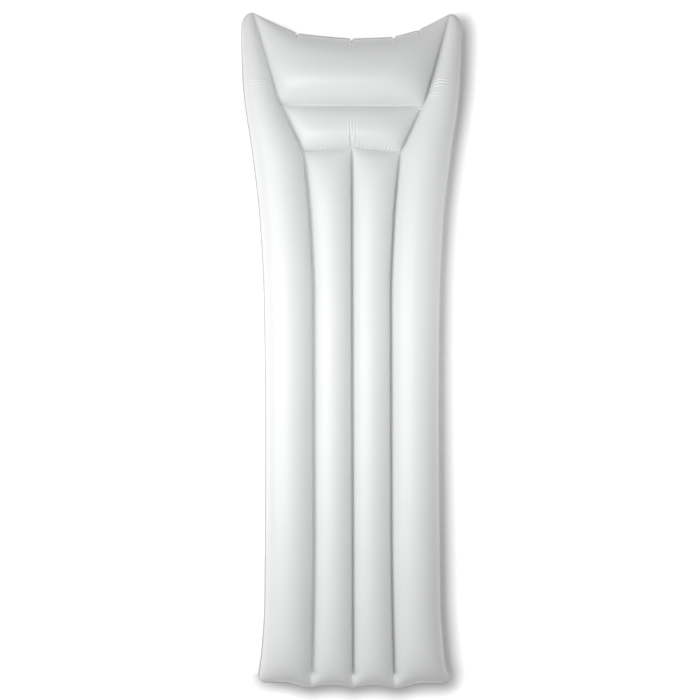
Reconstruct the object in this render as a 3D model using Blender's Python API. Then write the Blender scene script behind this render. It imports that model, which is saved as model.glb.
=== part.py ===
"""Pool air mattress with a pillow, inflated and lying flat, built in Blender.

Two sheets of soft PVC film lie one on the other and are welded along their outline and along the
seams between the tubes. Air swells them into two side tubes, two middle tubes, a neck cushion and a
pillow. The lower sheet carries two valves: one at the foot, for the body, and one behind the
pillow. Metres, +Z up, +Y towards the head, origin under the middle of the mattress on the floor.
"""

import math

import bmesh
import bpy
import numpy as np
from mathutils import Matrix, Vector
from mathutils.bvhtree import BVHTree

MM = 0.001

# Lengths along the mattress, inflated.
BODY_LENGTH = 1.3805  # foot seam to the neck seam
NECK_LENGTH = 0.121  # neck seam to the pillow seam
PILLOW_LENGTH = 0.231  # pillow seam to the tips of the ears
HEAD_EDGE_DIP = 0.066  # how far the middle of the head edge is drawn in from the ear tips
EAR_SHOULDER = 0.050  # drop from an ear's tip to its outer edge
EAR_ROUND = 2.2  # 2 makes that drop a round shoulder, 1 a straight one
HEAD_EDGE_POWER = 2.8  # 2 makes the head edge a round hollow, more a flatter one
FOOT_FLARE = 0.230  # the outline widens over this length towards the foot
HEAD_FLARE = 0.640  # and over this length towards the neck
NECK_ARCH = 0.011  # how far the neck seam bows towards the head at its middle
SIDE_FOOT_RETREAT = 0.014  # how far a side tube draws the foot edge in
MIDDLE_FOOT_RETREAT = 0.008
MIDDLE_FOOT_POWER = 0.7  # 1 makes a middle tube's foot edge a half wave, less a fuller one
FOOT_CORNER = 0.015  # radius of the outer corners at the foot
FOOT_DRAW_LENGTH = 0.100  # how far along the tubes that drawing in is felt
NECK_ARCH_POWER = 1.5  # 1 makes the bow a straight-sided gable, 2 a point in a flat seam
NECK_ARCH_LENGTH = 0.120  # how far down the tubes the neck seam's bow is felt
SKEW = 0.010  # the welding tool lay this much askew: the right side is nearer the foot
PILLOW_RISE_BEFORE = 0.100  # the welds start to rise this far before the neck seam
PILLOW_RISE_AFTER = 0.090  # and are up at the pillow's own height this far past its seam

# Half widths of the whole mattress, and of the pair of middle tubes, inflated.
FOOT_HALF = 0.2495
WAIST_HALF = 0.2257
NECK_HALF = 0.2580
EAR_HALF = 0.2852
SEAM_FOOT_HALF = 0.1078
SEAM_WAIST_HALF = 0.0997
SEAM_NECK_HALF = 0.1276
PILLOW_FOOT_HALF = 0.1826
EAR_WIDTH = 0.0357  # from an ear's tip out to its outer edge
EAR_TIP_HALF = EAR_HALF - EAR_WIDTH

# Film and welds.
FILM = 0.25 * MM
WELD_GAP = 0.3 * MM  # left between the two sheets where they are welded
LAND = 4.0 * MM  # width of a weld between two tubes
RIM = 3.0 * MM  # width of the weld round the outline
FULLNESS = 0.86  # a tube's thickness over its width
FLOOR_FLAT = 1.0 * MM  # how far the mattress settles on the floor
FOOT_PASSAGE = 0.038  # the seams between the tubes stop this far from the foot edge
CAP_LENGTH = 0.060  # the tubes round off over this length at the neck seam
FOOT_CAP_LENGTH = 0.070  # and over this length at the foot
NECK_PASSAGE_SHARE = 0.90  # above this share of the neck its side seams are open
NECK_SPREAD_SHARE = 0.30  # the film's lines leave the middle seam over this share of the neck
TUBE_END_SLOPE = 0.026  # how slowly the tubes rise from the neck seam
NECK_END_SLOPE = 0.006  # and the neck from it on the other side
PILLOW_END_SLOPE = 0.010  # and the neck and pillow from the pillow seam
SLOPE_FADE = 6.0  # these slopes end this many of their own lengths from the seam

# Facets.
MIDDLE_STRIPS = 6  # across a middle tube
SIDE_STRIPS = 9  # across a side tube; an odd count leaves a flat strip underneath
BODY_STRIPS = 7
NECK_STRIPS = 4
PILLOW_STRIPS = 7
CAP_STRIPS = 3  # along each rounded end of a tube
ROUND_STEPS = 24
CORNER_SPREAD = 0.2  # share of a facet between the rim points at a corner

# Valves: each axis leans this far from straight down, towards the nearest end of the mattress.
VALVE_LEAN = math.radians(50.0)
FOOT_VALVE_INSET = 0.055  # from the foot edge to the point that the foot valve's axis starts from
PILLOW_VALVE_X = 0.075  # the pillow valve stands off the middle
PILLOW_VALVE_INSET = 0.080  # from the head edge to the point that its axis starts from
SEAT_GAP = 0.3 * MM  # between pieces that touch

BORE_RADIUS = 3.9 * MM
MOUTH_CHAMFER = 0.8 * MM
STEM_WALL = 2.1 * MM
STEM_LENGTH = 30.0 * MM
STEM_SINK = 0.9 * MM  # from the film's face down to the stem's mouth
COLLAR_LIP = 1.0 * MM  # how far the collar at the mouth stands out of the stem
COLLAR_THICK = 1.7 * MM
FOOT_LIP = 0.8 * MM  # the same for the ring at the stem's inner end
FOOT_THICK = 1.5 * MM
STEM_RADIUS = BORE_RADIUS + STEM_WALL
COLLAR_RADIUS = STEM_RADIUS + COLLAR_LIP

WEB_ROOM = 3.9 * MM  # between the collar and the flange's lip, which the web crosses
WEB_THICK = 0.7 * MM
WEB_DEPTH = 9.0 * MM  # how deep the web's cone is when the stem is pushed in
LIP_RADIUS = COLLAR_RADIUS + WEB_ROOM  # inner wall of the lip that lines the hole in the film
LIP_THICK = 0.8 * MM
LIP_RISE = 0.15 * MM  # above the film
FLANGE_WIDTH = 5.3 * MM  # from the lip's outer wall to the flange's rim
FLANGE_THICK = 0.8 * MM
FLANGE_RADIUS = LIP_RADIUS + LIP_THICK + FLANGE_WIDTH

SEAT_MARGIN = 7.0 * MM  # the film lies flat this far past the flange
SEAT_BLEND = 18.0 * MM  # and is back on the tube's own curve this much farther out
SEAT_DROP = 12.0 * MM  # nothing moves at the weld plane, everything may this far below it
FINE_CUTS = 3  # cuts in each edge of the film near a valve
SEAT_FLAT = FLANGE_RADIUS + SEAT_MARGIN
SEAT_EDGE = SEAT_FLAT + SEAT_BLEND

PLUG_CLEARANCE = 0.3 * MM  # between the plug and the bore
PLUG_LENGTH = 9.4 * MM
PLUG_TAPER = 0.9 * MM
HEAD_LIP = 2.5 * MM  # how far the plug's head reaches past the bore
HEAD_THICK = 3.8 * MM
HEAD_BEVEL = 0.7 * MM
HEAD_RADIUS = BORE_RADIUS + HEAD_LIP
PULL_TAB_REACH = 4.6 * MM  # past the head
PULL_TAB_WIDTH = 6.0 * MM
PULL_TAB_THICK = 1.2 * MM

FLAP_LIP = 1.7 * MM  # how far the flap reaches past the bore
FLAP_THICK = 0.6 * MM
FLAP_TAB_REACH = 1.0 * MM  # from the flap's rim to the line that it turns on
FLAP_TAB_WIDTH = 4.0 * MM
FLAP_RADIUS = BORE_RADIUS + FLAP_LIP

TETHER_THICK = 0.8 * MM
TETHER_WIDTH = 4.0 * MM
TETHER_REACH = 10.5 * MM  # from the collar to where the strap turns back
TETHER_CLEAR = 0.5 * MM  # between the strap and the film
TETHER_TURN = 1.8 * MM  # between the strap's two runs, middle to middle
TETHER_BEND_STEPS = 6

NECK_AT = BODY_LENGTH
PILLOW_AT = BODY_LENGTH + NECK_LENGTH
LENGTH = BODY_LENGTH + NECK_LENGTH + PILLOW_LENGTH

WHITE_FILM = ("white PVC film", (0.86, 0.87, 0.87), 0.32)
VALVE_PVC = ("clear soft PVC", (0.78, 0.82, 0.84), 0.28)
PLUG_PVC = ("white soft PVC", (0.84, 0.85, 0.85), 0.35)


def between(a, b, share):
    """The value this share of the way from a to b."""
    return a + (b - a) * share


def ease(t):
    """0 to 1 with a smooth start and end."""
    t = np.clip(t, 0.0, 1.0)
    return t * t * (3.0 - 2.0 * t)


def smooth_curve(stations, at):
    """A curve through (position, value) stations that never overshoots them."""
    x, y = (np.array(column, float) for column in zip(*stations))
    at = np.clip(at, x[0], x[-1])
    step = np.diff(x)
    slope = np.diff(y) / step
    tangent = np.zeros(len(x))
    for k in range(1, len(x) - 1):
        if slope[k - 1] * slope[k] > 0:
            tangent[k] = 2.0 / (1.0 / slope[k - 1] + 1.0 / slope[k])
    tangent[0], tangent[-1] = slope[0], slope[-1]
    k = np.clip(np.searchsorted(x, at) - 1, 0, len(step) - 1)
    t = (at - x[k]) / step[k]
    rise = y[k] * (1 + 2 * t) * (1 - t) ** 2 + y[k + 1] * t * t * (3 - 2 * t)
    return rise + step[k] * (tangent[k] * t * (1 - t) ** 2 - tangent[k + 1] * t * t * (1 - t))


def outer_half(along):
    """Half the mattress's width at a distance from the foot edge."""
    return smooth_curve(
        (
            (0.0, FOOT_HALF),
            (0.4 * FOOT_FLARE, between(WAIST_HALF, FOOT_HALF, 0.46)),
            (FOOT_FLARE, between(WAIST_HALF, FOOT_HALF, 0.11)),
            (NECK_AT - HEAD_FLARE, WAIST_HALF),
            (NECK_AT - 0.60 * HEAD_FLARE, between(WAIST_HALF, NECK_HALF, 0.08)),
            (NECK_AT - 0.28 * HEAD_FLARE, between(WAIST_HALF, NECK_HALF, 0.39)),
            (NECK_AT, NECK_HALF),
            (PILLOW_AT + 0.05 * PILLOW_LENGTH, between(NECK_HALF, EAR_HALF, 0.67)),
            (PILLOW_AT + 0.32 * PILLOW_LENGTH, between(NECK_HALF, EAR_HALF, 0.85)),
            (LENGTH - EAR_SHOULDER, EAR_HALF),
        ),
        along,
    )


def body_seam_half(along):
    """Distance from the middle to a seam between a side tube and a middle tube."""
    return smooth_curve(
        (
            (0.0, SEAM_FOOT_HALF),
            (0.87 * FOOT_FLARE, between(SEAM_WAIST_HALF, SEAM_FOOT_HALF, 0.35)),
            (1.74 * FOOT_FLARE, SEAM_WAIST_HALF),
            (NECK_AT - 0.60 * HEAD_FLARE, SEAM_WAIST_HALF),
            (NECK_AT - 0.28 * HEAD_FLARE, between(SEAM_WAIST_HALF, SEAM_NECK_HALF, 0.28)),
            (NECK_AT - 0.08 * HEAD_FLARE, between(SEAM_WAIST_HALF, SEAM_NECK_HALF, 0.68)),
            (NECK_AT, SEAM_NECK_HALF),
        ),
        along,
    )


def rounded(count, quarter=False):
    """Shares from 0 to 1 that stand closer at both ends, or at the start only, as on a circle."""
    turn = math.pi / 2 if quarter else math.pi
    whole = 1.0 if quarter else 2.0
    return [(1.0 - math.cos(turn * k / count)) / whole for k in range(count + 1)]


def plan_rows():
    """The crosswise lines of the film, from foot to head, as (zone, place)."""
    cap = rounded(CAP_STRIPS, quarter=True)
    neck = NECK_AT - LAND / 2
    rows = [("body", FOOT_PASSAGE * share) for share in cap]
    start, end = FOOT_CAP_LENGTH, neck - CAP_LENGTH
    rows += [("body", between(start, end, k / BODY_STRIPS)) for k in range(BODY_STRIPS)]
    rows += [("body", neck - CAP_LENGTH * share) for share in reversed(cap)]
    passage_middle = (1.0 + NECK_PASSAGE_SHARE) / 2
    inner = [between(0.0, NECK_PASSAGE_SHARE, share) for share in rounded(NECK_STRIPS)]
    rows += [("neck", share) for share in (*inner, passage_middle, 1.0)]
    rows += [("pillow", share) for share in rounded(PILLOW_STRIPS)]
    return rows


def row_spread(zone, place):
    """0 where the middle lines gather at the middle seam, 1 where they spread over the pillow."""
    if zone == "body":
        return 0.0
    if zone == "pillow":
        return 1.0
    return float(ease(place / NECK_SPREAD_SHARE))


def row_seam(zone, place):
    """(x, y) of the side seam on a row."""
    if zone == "body":
        return float(body_seam_half(place)), place
    if zone == "neck":
        low, high = NECK_AT + LAND / 2, PILLOW_AT - LAND / 2
        y = between(low, high, place)
        return between(SEAM_NECK_HALF, PILLOW_FOOT_HALF, (y - NECK_AT) / NECK_LENGTH), y
    y = between(PILLOW_AT + LAND / 2, LENGTH, place)
    return between(PILLOW_FOOT_HALF, EAR_TIP_HALF, (y - PILLOW_AT) / PILLOW_LENGTH), y


def neck_arch(across):
    """How far the neck seam is bowed towards the head, at a share of the way out to its end."""
    return NECK_ARCH * np.clip(1.0 - across, 0.0, 1.0) ** NECK_ARCH_POWER


def middle_points(zone, place):
    """Points of a row over one middle tube and its half of the neck and pillow, middle to seam."""
    seam_x, seam_y = row_seam(zone, place)
    low, high = LAND / 2, seam_x - LAND / 2
    tube = [between(low, high, share) for share in rounded(MIDDLE_STRIPS)]
    strips = 2 * MIDDLE_STRIPS + 1
    spread = [(MIDDLE_STRIPS + 1 + k) / strips for k in range(MIDDLE_STRIPS + 1)]
    wide = [-high * math.cos(math.pi * share) for share in spread]
    points = []
    for k, share in enumerate(rounded(MIDDLE_STRIPS)):
        x = between(tube[k], wide[k], row_spread(zone, place))
        across = x / seam_x
        arch = neck_arch(across)
        if zone == "body":
            bump = math.sin(math.pi * share) ** MIDDLE_FOOT_POWER if 0.0 < share < 1.0 else 0.0
            y = seam_y + MIDDLE_FOOT_RETREAT * bump * max(0.0, 1.0 - place / FOOT_DRAW_LENGTH) ** 2
            y += arch * max(0.0, 1.0 - (NECK_AT - place) / NECK_ARCH_LENGTH) ** 2
        elif zone == "neck":
            y = seam_y + arch * (1.0 - place)
        else:
            head = LENGTH - HEAD_EDGE_DIP * (1.0 - across**HEAD_EDGE_POWER)
            y = between(PILLOW_AT + LAND / 2, head, place)
        points.append((x, y))
    return points


def side_points(zone, place):
    """Points of a row over one side tube, from the seam out to the outline."""
    seam_x, seam_y = row_seam(zone, place)
    low = seam_x + LAND / 2
    if zone == "pillow":
        edge_y = between(PILLOW_AT + LAND / 2, LENGTH - EAR_SHOULDER, place)
    else:
        edge_y = seam_y
    high = float(outer_half(edge_y)) - RIM
    points = []
    for share in rounded(SIDE_STRIPS):
        x = between(low, high, share)
        level = max(0.0, 1.0 - share**EAR_ROUND) ** (1.0 / EAR_ROUND)
        y = seam_y - (seam_y - edge_y) * (1.0 - level)
        if zone == "body":
            draw = SIDE_FOOT_RETREAT * float(ease(share / 0.5))
            into = min(1.0, max(0.0, (x - (high - FOOT_CORNER)) / FOOT_CORNER))
            draw += FOOT_CORNER * (1.0 - math.sqrt(1.0 - into * into))
            y += draw * max(0.0, 1.0 - place / FOOT_DRAW_LENGTH) ** 2
        points.append((x, y))
    return points


def plan_grid():
    """(rows, columns, 2) plan points of the film inside its rim, left to right."""
    grid = []
    for zone, place in plan_rows():
        half = middle_points(zone, place) + side_points(zone, place)
        grid.append([(-x, y) for x, y in reversed(half)] + half)
    return np.array(grid)


def welded():
    """True at the plan points where the two sheets are welded together."""
    rows = plan_rows()
    columns = 2 * (MIDDLE_STRIPS + SIDE_STRIPS + 2)
    weld = np.zeros((len(rows), columns), bool)
    weld[0] = weld[-1] = True
    weld[:, 0] = weld[:, -1] = True
    middle = columns // 2
    side_lands = [SIDE_STRIPS, SIDE_STRIPS + 1, columns - SIDE_STRIPS - 2, columns - SIDE_STRIPS - 1]
    neck_rows = [j for j, (zone, _) in enumerate(rows) if zone == "neck"]
    cross_seams = (neck_rows[0] - 1, neck_rows[0], neck_rows[-1], neck_rows[-1] + 1)
    for j, (zone, place) in enumerate(rows):
        in_body = zone == "body" and place >= FOOT_PASSAGE - 1e-9
        side_open = zone == "neck" and NECK_PASSAGE_SHARE < place < 1.0
        if in_body or (zone != "body" and not side_open):
            weld[j, side_lands] = True
        if in_body:
            weld[j, middle - 1 : middle + 1] = True
        if j in cross_seams:
            weld[j, SIDE_STRIPS : columns - SIDE_STRIPS] = True
    return weld


def swell(plan, weld):
    """How high air lifts the film above its welds: the root of a pressed membrane's height, which
    over a long tube is exactly a circle."""
    rows, columns = weld.shape
    points = plan.reshape(-1, 2)
    number = np.arange(rows * columns).reshape(rows, columns)
    a, b = number[:-1, :-1].ravel(), number[:-1, 1:].ravel()
    c, d = number[1:, 1:].ravel(), number[1:, :-1].ravel()
    corners = np.concatenate([np.stack(t, 1) for t in ((a, b, c), (a, c, d), (a, b, d), (b, c, d))])
    stiff = np.zeros((rows * columns, rows * columns))
    load = np.zeros(rows * columns)
    edge = [points[corners[:, (k + 2) % 3]] - points[corners[:, (k + 1) % 3]] for k in range(3)]
    area = 0.5 * np.abs(edge[0][:, 0] * edge[1][:, 1] - edge[0][:, 1] * edge[1][:, 0])
    for m in range(3):
        np.add.at(load, corners[:, m], area / 6.0)
        for n in range(3):
            np.add.at(stiff, (corners[:, m], corners[:, n]), (edge[m] * edge[n]).sum(1) / (8.0 * area))
    free = ~weld.ravel()
    height = np.zeros(rows * columns)
    height[free] = np.linalg.solve(stiff[np.ix_(free, free)], load[free])
    return FULLNESS * np.sqrt(2.0 * np.maximum(height, 0.0)).reshape(rows, columns)


def seam_half(along):
    """Distance from the middle to the side seams, anywhere along the mattress."""
    neck = between(SEAM_NECK_HALF, PILLOW_FOOT_HALF, (along - NECK_AT) / NECK_LENGTH)
    pillow = between(PILLOW_FOOT_HALF, EAR_TIP_HALF, (along - PILLOW_AT) / PILLOW_LENGTH)
    body = body_seam_half(np.minimum(along, NECK_AT))
    return np.where(along < NECK_AT, body, np.where(along < PILLOW_AT, neck, pillow))


def slope_share(distance, slope):
    """Share of the full height at a distance from a crosswise seam."""
    low = 1.0 - np.sqrt(distance / (distance + slope))
    return 1.0 - low * np.exp(-distance / (SLOPE_FADE * slope))


def seam_slopes(plan):
    """Shares of the height that open the valleys at the neck seam and the pillow seam."""
    x, along = np.abs(plan[..., 0]), plan[..., 1]
    neck_seam = NECK_AT + neck_arch(x / SEAM_NECK_HALF)
    slope = np.where(along < neck_seam, TUBE_END_SLOPE, NECK_END_SLOPE)
    share = slope_share(np.abs(along - neck_seam), slope)
    share *= slope_share(np.abs(along - PILLOW_AT), PILLOW_END_SLOPE)
    return np.where(x < seam_half(along), share, 1.0)


def outline_rim(plan):
    """The plan grid with one more row and column all round, the outline weld's outer edge."""
    rows, columns, _ = plan.shape
    loop = [(0, i) for i in range(columns)] + [(j, columns - 1) for j in range(1, rows)]
    loop += [(rows - 1, i) for i in range(columns - 2, -1, -1)] + [(j, 0) for j in range(rows - 2, 0, -1)]
    wide = np.zeros((rows + 2, columns + 2, 2))
    wide[1:-1, 1:-1] = plan
    for k, (j, i) in enumerate(loop):
        before, after = plan[loop[k - 1]], plan[loop[(k + 1) % len(loop)]]
        along = (after - before) / np.linalg.norm(after - before)
        out = plan[j, i] + RIM * np.array((along[1], -along[0]))
        jj = (0,) if j == 0 else (rows + 1,) if j == rows - 1 else ()
        ii = (0,) if i == 0 else (columns + 1,) if i == columns - 1 else ()
        for row in (*jj, j + 1) if ii else jj:
            for column in (*ii, i + 1) if jj else ii:
                if (row, column) != (j + 1, i + 1):
                    wide[row, column] = out
    return wide


def corner_rim(wide):
    """Spreads the three rim points at each corner of the grid, which would fall together."""
    for j, row_step in ((0, 1), (-1, -1)):
        for i, column_step in ((0, 1), (-1, -1)):
            corner = wide[j, i]
            wide[j, i + column_step] = between(corner, wide[j, i + 2 * column_step], CORNER_SPREAD)
            wide[j + row_step, i] = between(corner, wide[j + 2 * row_step, i], CORNER_SPREAD)
    return wide


def film_grid():
    """(plan, height above the welds, height of the weld plane) of the whole film."""
    plan, weld = plan_grid(), welded()
    height = swell(plan, weld) * seam_slopes(plan)
    wide = corner_rim(outline_rim(plan))
    lifted = np.zeros(wide.shape[:2])
    lifted[1:-1, 1:-1] = height
    rows = plan_rows()
    in_pillow = np.array([zone == "pillow" for zone, _ in rows])
    tube_top = height[BODY_STRIPS // 2 + 3].max()
    pillow_top = height[in_pillow].max()
    rise_start, rise_end = NECK_AT - PILLOW_RISE_BEFORE, PILLOW_AT + PILLOW_RISE_AFTER
    rise = ease((wide[..., 1] - rise_start) / (rise_end - rise_start))
    plane = between(tube_top, pillow_top, rise) - FLOOR_FLAT
    wide[..., 1] -= SKEW * wide[..., 0]
    wide[..., 1] -= (wide[..., 1].min() + wide[..., 1].max()) / 2
    return wide, lifted, plane


def material(finish):
    """The material of that name, made when it is first asked for."""
    name, colour, roughness = finish
    found = bpy.data.materials.get(name)
    if found:
        return found
    made = bpy.data.materials.new(name)
    made.use_nodes = True
    shader = made.node_tree.nodes["Principled BSDF"]
    shader.inputs["Base Color"].default_value = (*colour, 1.0)
    shader.inputs["Roughness"].default_value = roughness
    shader.inputs["Metallic"].default_value = 0.0
    return made


def add_object(name, bm, finish, parent=None, smooth=True):
    """Turns a bmesh into a named object with its material, placed under a parent empty."""
    mesh = bpy.data.meshes.new(name)
    bm.to_mesh(mesh)
    bm.free()
    mesh.materials.append(material(finish))
    if smooth:
        mesh.shade_smooth()
        mesh.set_sharp_from_angle(angle=math.radians(35.0))
    made = bpy.data.objects.new(name, mesh)
    bpy.context.scene.collection.objects.link(made)
    made.parent = parent
    return made


def helper(obj):
    """Marks a cutter or a guide, which isn't a piece of the object."""
    obj.hide_render = True
    obj.display_type = "WIRE"
    return obj


def sheet_surface(film, side):
    """The outer face of one sheet as a bmesh: side is 1 for the upper sheet and -1 for the lower."""
    plan, height, plane = film
    rows, columns = height.shape
    bm = bmesh.new()
    bmesh.ops.create_grid(bm, x_segments=columns - 1, y_segments=rows - 1, size=0.5)
    offset = WELD_GAP / 2 + FILM
    for vertex in bm.verts:
        i = round((vertex.co.x + 0.5) * (columns - 1))
        j = round((vertex.co.y + 0.5) * (rows - 1))
        z = plane[j, i] + side * (height[j, i] + offset)
        vertex.co = (plan[j, i, 0], plan[j, i, 1], max(z, 0.0))
    if side < 0:
        bmesh.ops.reverse_faces(bm, faces=bm.faces)
    bm.normal_update()
    return bm


def seat_frame(bm, start, lean_to):
    """The frame of a valve on the lower sheet: local +Z points out of the film along the valve's
    axis, local +X along the mattress's width, and the origin is on the film's outer face."""
    axis = Vector((0.0, lean_to * math.sin(VALVE_LEAN), -math.cos(VALVE_LEAN)))
    hit, _, _, _ = BVHTree.FromBMesh(bm).ray_cast(start, axis)
    across = Vector((1.0, 0.0, 0.0))
    turn = Matrix((across, axis.cross(across), axis)).transposed()
    return Matrix.Translation(hit) @ turn.to_4x4()


def flatten_seat(bm, frame, weld_z):
    """Refines the film round a valve and lays it flat there, as the stiff flange holds it."""
    inverse = frame.inverted()

    def radius(point):
        return (inverse @ point).xy.length

    near = {v for v in bm.verts if radius(v.co) < SEAT_EDGE and abs((inverse @ v.co).z) < SEAT_EDGE}
    edges = {edge for vertex in near for face in vertex.link_faces for edge in face.edges}
    bmesh.ops.subdivide_edges(bm, edges=list(edges), cuts=FINE_CUTS, use_grid_fill=True)
    for vertex in bm.verts:
        local = inverse @ vertex.co
        if abs(local.z) > SEAT_EDGE:
            continue
        lay = 1.0 - ease((local.xy.length - SEAT_FLAT) / SEAT_BLEND)
        lay *= ease((weld_z - vertex.co.z) / SEAT_DROP)
        local.z *= 1.0 - float(lay)
        vertex.co = frame @ local
    for vertex in bm.verts:
        vertex.co.z = max(vertex.co.z, 0.0)


def finish_sheet(name, bm):
    """Gives a sheet's surface its thickness, towards the air."""
    bmesh.ops.triangulate(bm, faces=bm.faces, quad_method="BEAUTY")
    sheet = add_object(name, bm, WHITE_FILM)
    thick = sheet.modifiers.new("film thickness", "SOLIDIFY")
    thick.thickness = FILM
    thick.offset = -1.0
    thick.use_even_offset = True
    return sheet


def lathe(name, profile, finish, parent, closed=True):
    """A turned piece about local Z. A closed profile is a ring; an open one starts and ends on the
    axis."""
    bm = bmesh.new()
    verts = [bm.verts.new((r, 0.0, z)) for r, z in profile]
    pairs = list(zip(verts, verts[1:] + verts[:1])) if closed else list(zip(verts, verts[1:]))
    edges = [bm.edges.new(pair) for pair in pairs]
    turn = {"cent": (0, 0, 0), "axis": (0, 0, 1), "angle": 2 * math.pi, "use_merge": True}
    bmesh.ops.spin(bm, geom=verts + edges, steps=ROUND_STEPS, **turn)
    bmesh.ops.remove_doubles(bm, verts=bm.verts, dist=1e-6)
    bmesh.ops.recalc_face_normals(bm, faces=bm.faces)
    return add_object(name, bm, finish, parent)


def extruded(name, outline, direction, finish, parent):
    """A flat outline of points pushed out along a direction into a solid plate."""
    bm = bmesh.new()
    face = bm.faces.new([bm.verts.new(point) for point in outline])
    moved = bmesh.ops.extrude_face_region(bm, geom=[face])["geom"]
    tops = [item for item in moved if isinstance(item, bmesh.types.BMVert)]
    bmesh.ops.translate(bm, verts=tops, vec=direction)
    bmesh.ops.recalc_face_normals(bm, faces=bm.faces)
    return add_object(name, bm, finish, parent, smooth=False)


def valve_flange(name, parent):
    """The ring welded inside the film, with the lip that lines the hole."""
    top = -FILM - SEAT_GAP
    outer = LIP_RADIUS + LIP_THICK
    under = top - FLANGE_THICK
    profile = [(LIP_RADIUS, under), (FLANGE_RADIUS, under), (FLANGE_RADIUS, top)]
    profile += [(outer, top), (outer, LIP_RISE), (LIP_RADIUS, LIP_RISE)]
    return lathe(name, profile, VALVE_PVC, parent)


def valve_web(name, parent):
    """The thin cone between the flange and the stem, which turns inside out as the stem moves."""
    wide, narrow = LIP_RADIUS - SEAT_GAP, STEM_RADIUS + SEAT_GAP
    top = -SEAT_GAP
    foot = top - WEB_DEPTH
    profile = [(wide, top), (wide - WEB_THICK, top), (narrow, foot), (narrow + WEB_THICK, foot)]
    return lathe(name, profile, VALVE_PVC, parent)


def valve_stem(name, parent):
    """The tube that the air goes through, with a collar at its mouth and a seat for the flap."""
    top, foot = -STEM_SINK, -STEM_SINK - STEM_LENGTH
    ring = STEM_RADIUS + FOOT_LIP
    profile = [(BORE_RADIUS + MOUTH_CHAMFER, top), (COLLAR_RADIUS, top)]
    profile.append((COLLAR_RADIUS, top - COLLAR_THICK))
    profile += [(STEM_RADIUS, top - COLLAR_THICK), (STEM_RADIUS, foot + FOOT_THICK)]
    profile += [(ring, foot + FOOT_THICK), (ring, foot)]
    profile += [(BORE_RADIUS, foot), (BORE_RADIUS, top - MOUTH_CHAMFER)]
    return lathe(name, profile, VALVE_PVC, parent)


def valve_flap(name, parent):
    """The thin disc that closes the stem's inner end, on a tab at one side."""
    top = -STEM_SINK - STEM_LENGTH - SEAT_GAP
    half = FLAP_TAB_WIDTH / 2
    open_angle = math.asin(half / FLAP_RADIUS)
    sweep = 2 * math.pi - 2 * open_angle
    start = -math.pi + open_angle
    reach = FLAP_RADIUS + FLAP_TAB_REACH
    outline = [(-reach, half, top), (-reach, -half, top)]
    for k in range(ROUND_STEPS + 1):
        angle = start + sweep * k / ROUND_STEPS
        outline.append((FLAP_RADIUS * math.cos(angle), FLAP_RADIUS * math.sin(angle), top))
    return extruded(name, outline, (0.0, 0.0, -FLAP_THICK), PLUG_PVC, parent)


def head_under():
    """Height of the underside of the plug's head, which rests on the stem's mouth."""
    return -STEM_SINK + SEAT_GAP


def valve_plug(name, parent):
    """The stopper: a body in the bore, a head on the mouth, and a tab to pull it by."""
    under = head_under()
    top = under + HEAD_THICK
    body = BORE_RADIUS - PLUG_CLEARANCE
    tip = under - PLUG_LENGTH
    profile = [(0.0, tip), (body - PLUG_TAPER, tip), (body, tip + PLUG_TAPER), (body, under)]
    profile += [(HEAD_RADIUS, under), (HEAD_RADIUS, top - HEAD_BEVEL)]
    profile += [(HEAD_RADIUS - HEAD_BEVEL, top), (0.0, top)]
    plug = lathe(name, profile, PLUG_PVC, parent, closed=False)
    half = PULL_TAB_WIDTH / 2
    inner, outer = -HEAD_RADIUS / 2, -HEAD_RADIUS - PULL_TAB_REACH
    low = top - HEAD_BEVEL / 2 - PULL_TAB_THICK
    outline = [(inner, -half, low), (inner, half, low), (outer + half / 2, half, low)]
    outline += [(outer, half / 2, low), (outer, -half / 2, low), (outer + half / 2, -half, low)]
    tab = helper(extruded(name + "_tab", outline, (0.0, 0.0, PULL_TAB_THICK), PLUG_PVC, parent))
    join = plug.modifiers.new("pull tab", "BOOLEAN")
    join.operation = "UNION"
    join.solver = "EXACT"
    join.object = tab
    return plug


def valve_tether(name, parent):
    """The strap from the stem's collar to the plug's head, folded back on itself."""
    root = COLLAR_RADIUS + SEAT_GAP + TETHER_THICK / 2
    low = TETHER_CLEAR + TETHER_THICK / 2
    high = low + TETHER_TURN
    middle = [(root, -STEM_SINK - COLLAR_THICK), (root, low - TETHER_THICK)]
    middle += [(root + TETHER_THICK * 0.4, low - TETHER_THICK * 0.3), (root + TETHER_THICK * 1.2, low)]
    turn = TETHER_TURN / 2
    turn_x = COLLAR_RADIUS + TETHER_REACH - turn
    for k in range(TETHER_BEND_STEPS + 1):
        angle = -math.pi / 2 + math.pi * k / TETHER_BEND_STEPS
        middle.append((turn_x + turn * math.cos(angle), low + turn + turn * math.sin(angle)))
    middle.append((HEAD_RADIUS + SEAT_GAP, high))
    left, right = [], []
    for k, point in enumerate(middle):
        before, after = Vector(middle[max(k - 1, 0)]), Vector(middle[min(k + 1, len(middle) - 1)])
        along = (after - before).normalized()
        aside = Vector((-along.y, along.x)) * TETHER_THICK / 2
        left.append(Vector(point) + aside)
        right.append(Vector(point) - aside)
    outline = [(p.x, -TETHER_WIDTH / 2, p.y) for p in left + right[::-1]]
    return extruded(name, outline, (0.0, TETHER_WIDTH, 0.0), PLUG_PVC, parent)


def film_hole(sheet, name, frame_empty):
    """Cuts the round hole that the valve's lip lines."""
    bm = bmesh.new()
    radius = LIP_RADIUS + LIP_THICK + SEAT_GAP
    bmesh.ops.create_cone(
        bm, cap_ends=True, segments=2 * ROUND_STEPS, radius1=radius, radius2=radius, depth=2 * radius
    )
    cutter = helper(add_object(name + "_hole_cutter", bm, WHITE_FILM, frame_empty))
    cut = sheet.modifiers.new(name + " hole", "BOOLEAN")
    cut.operation = "DIFFERENCE"
    cut.solver = "EXACT"
    cut.object = cutter


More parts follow.
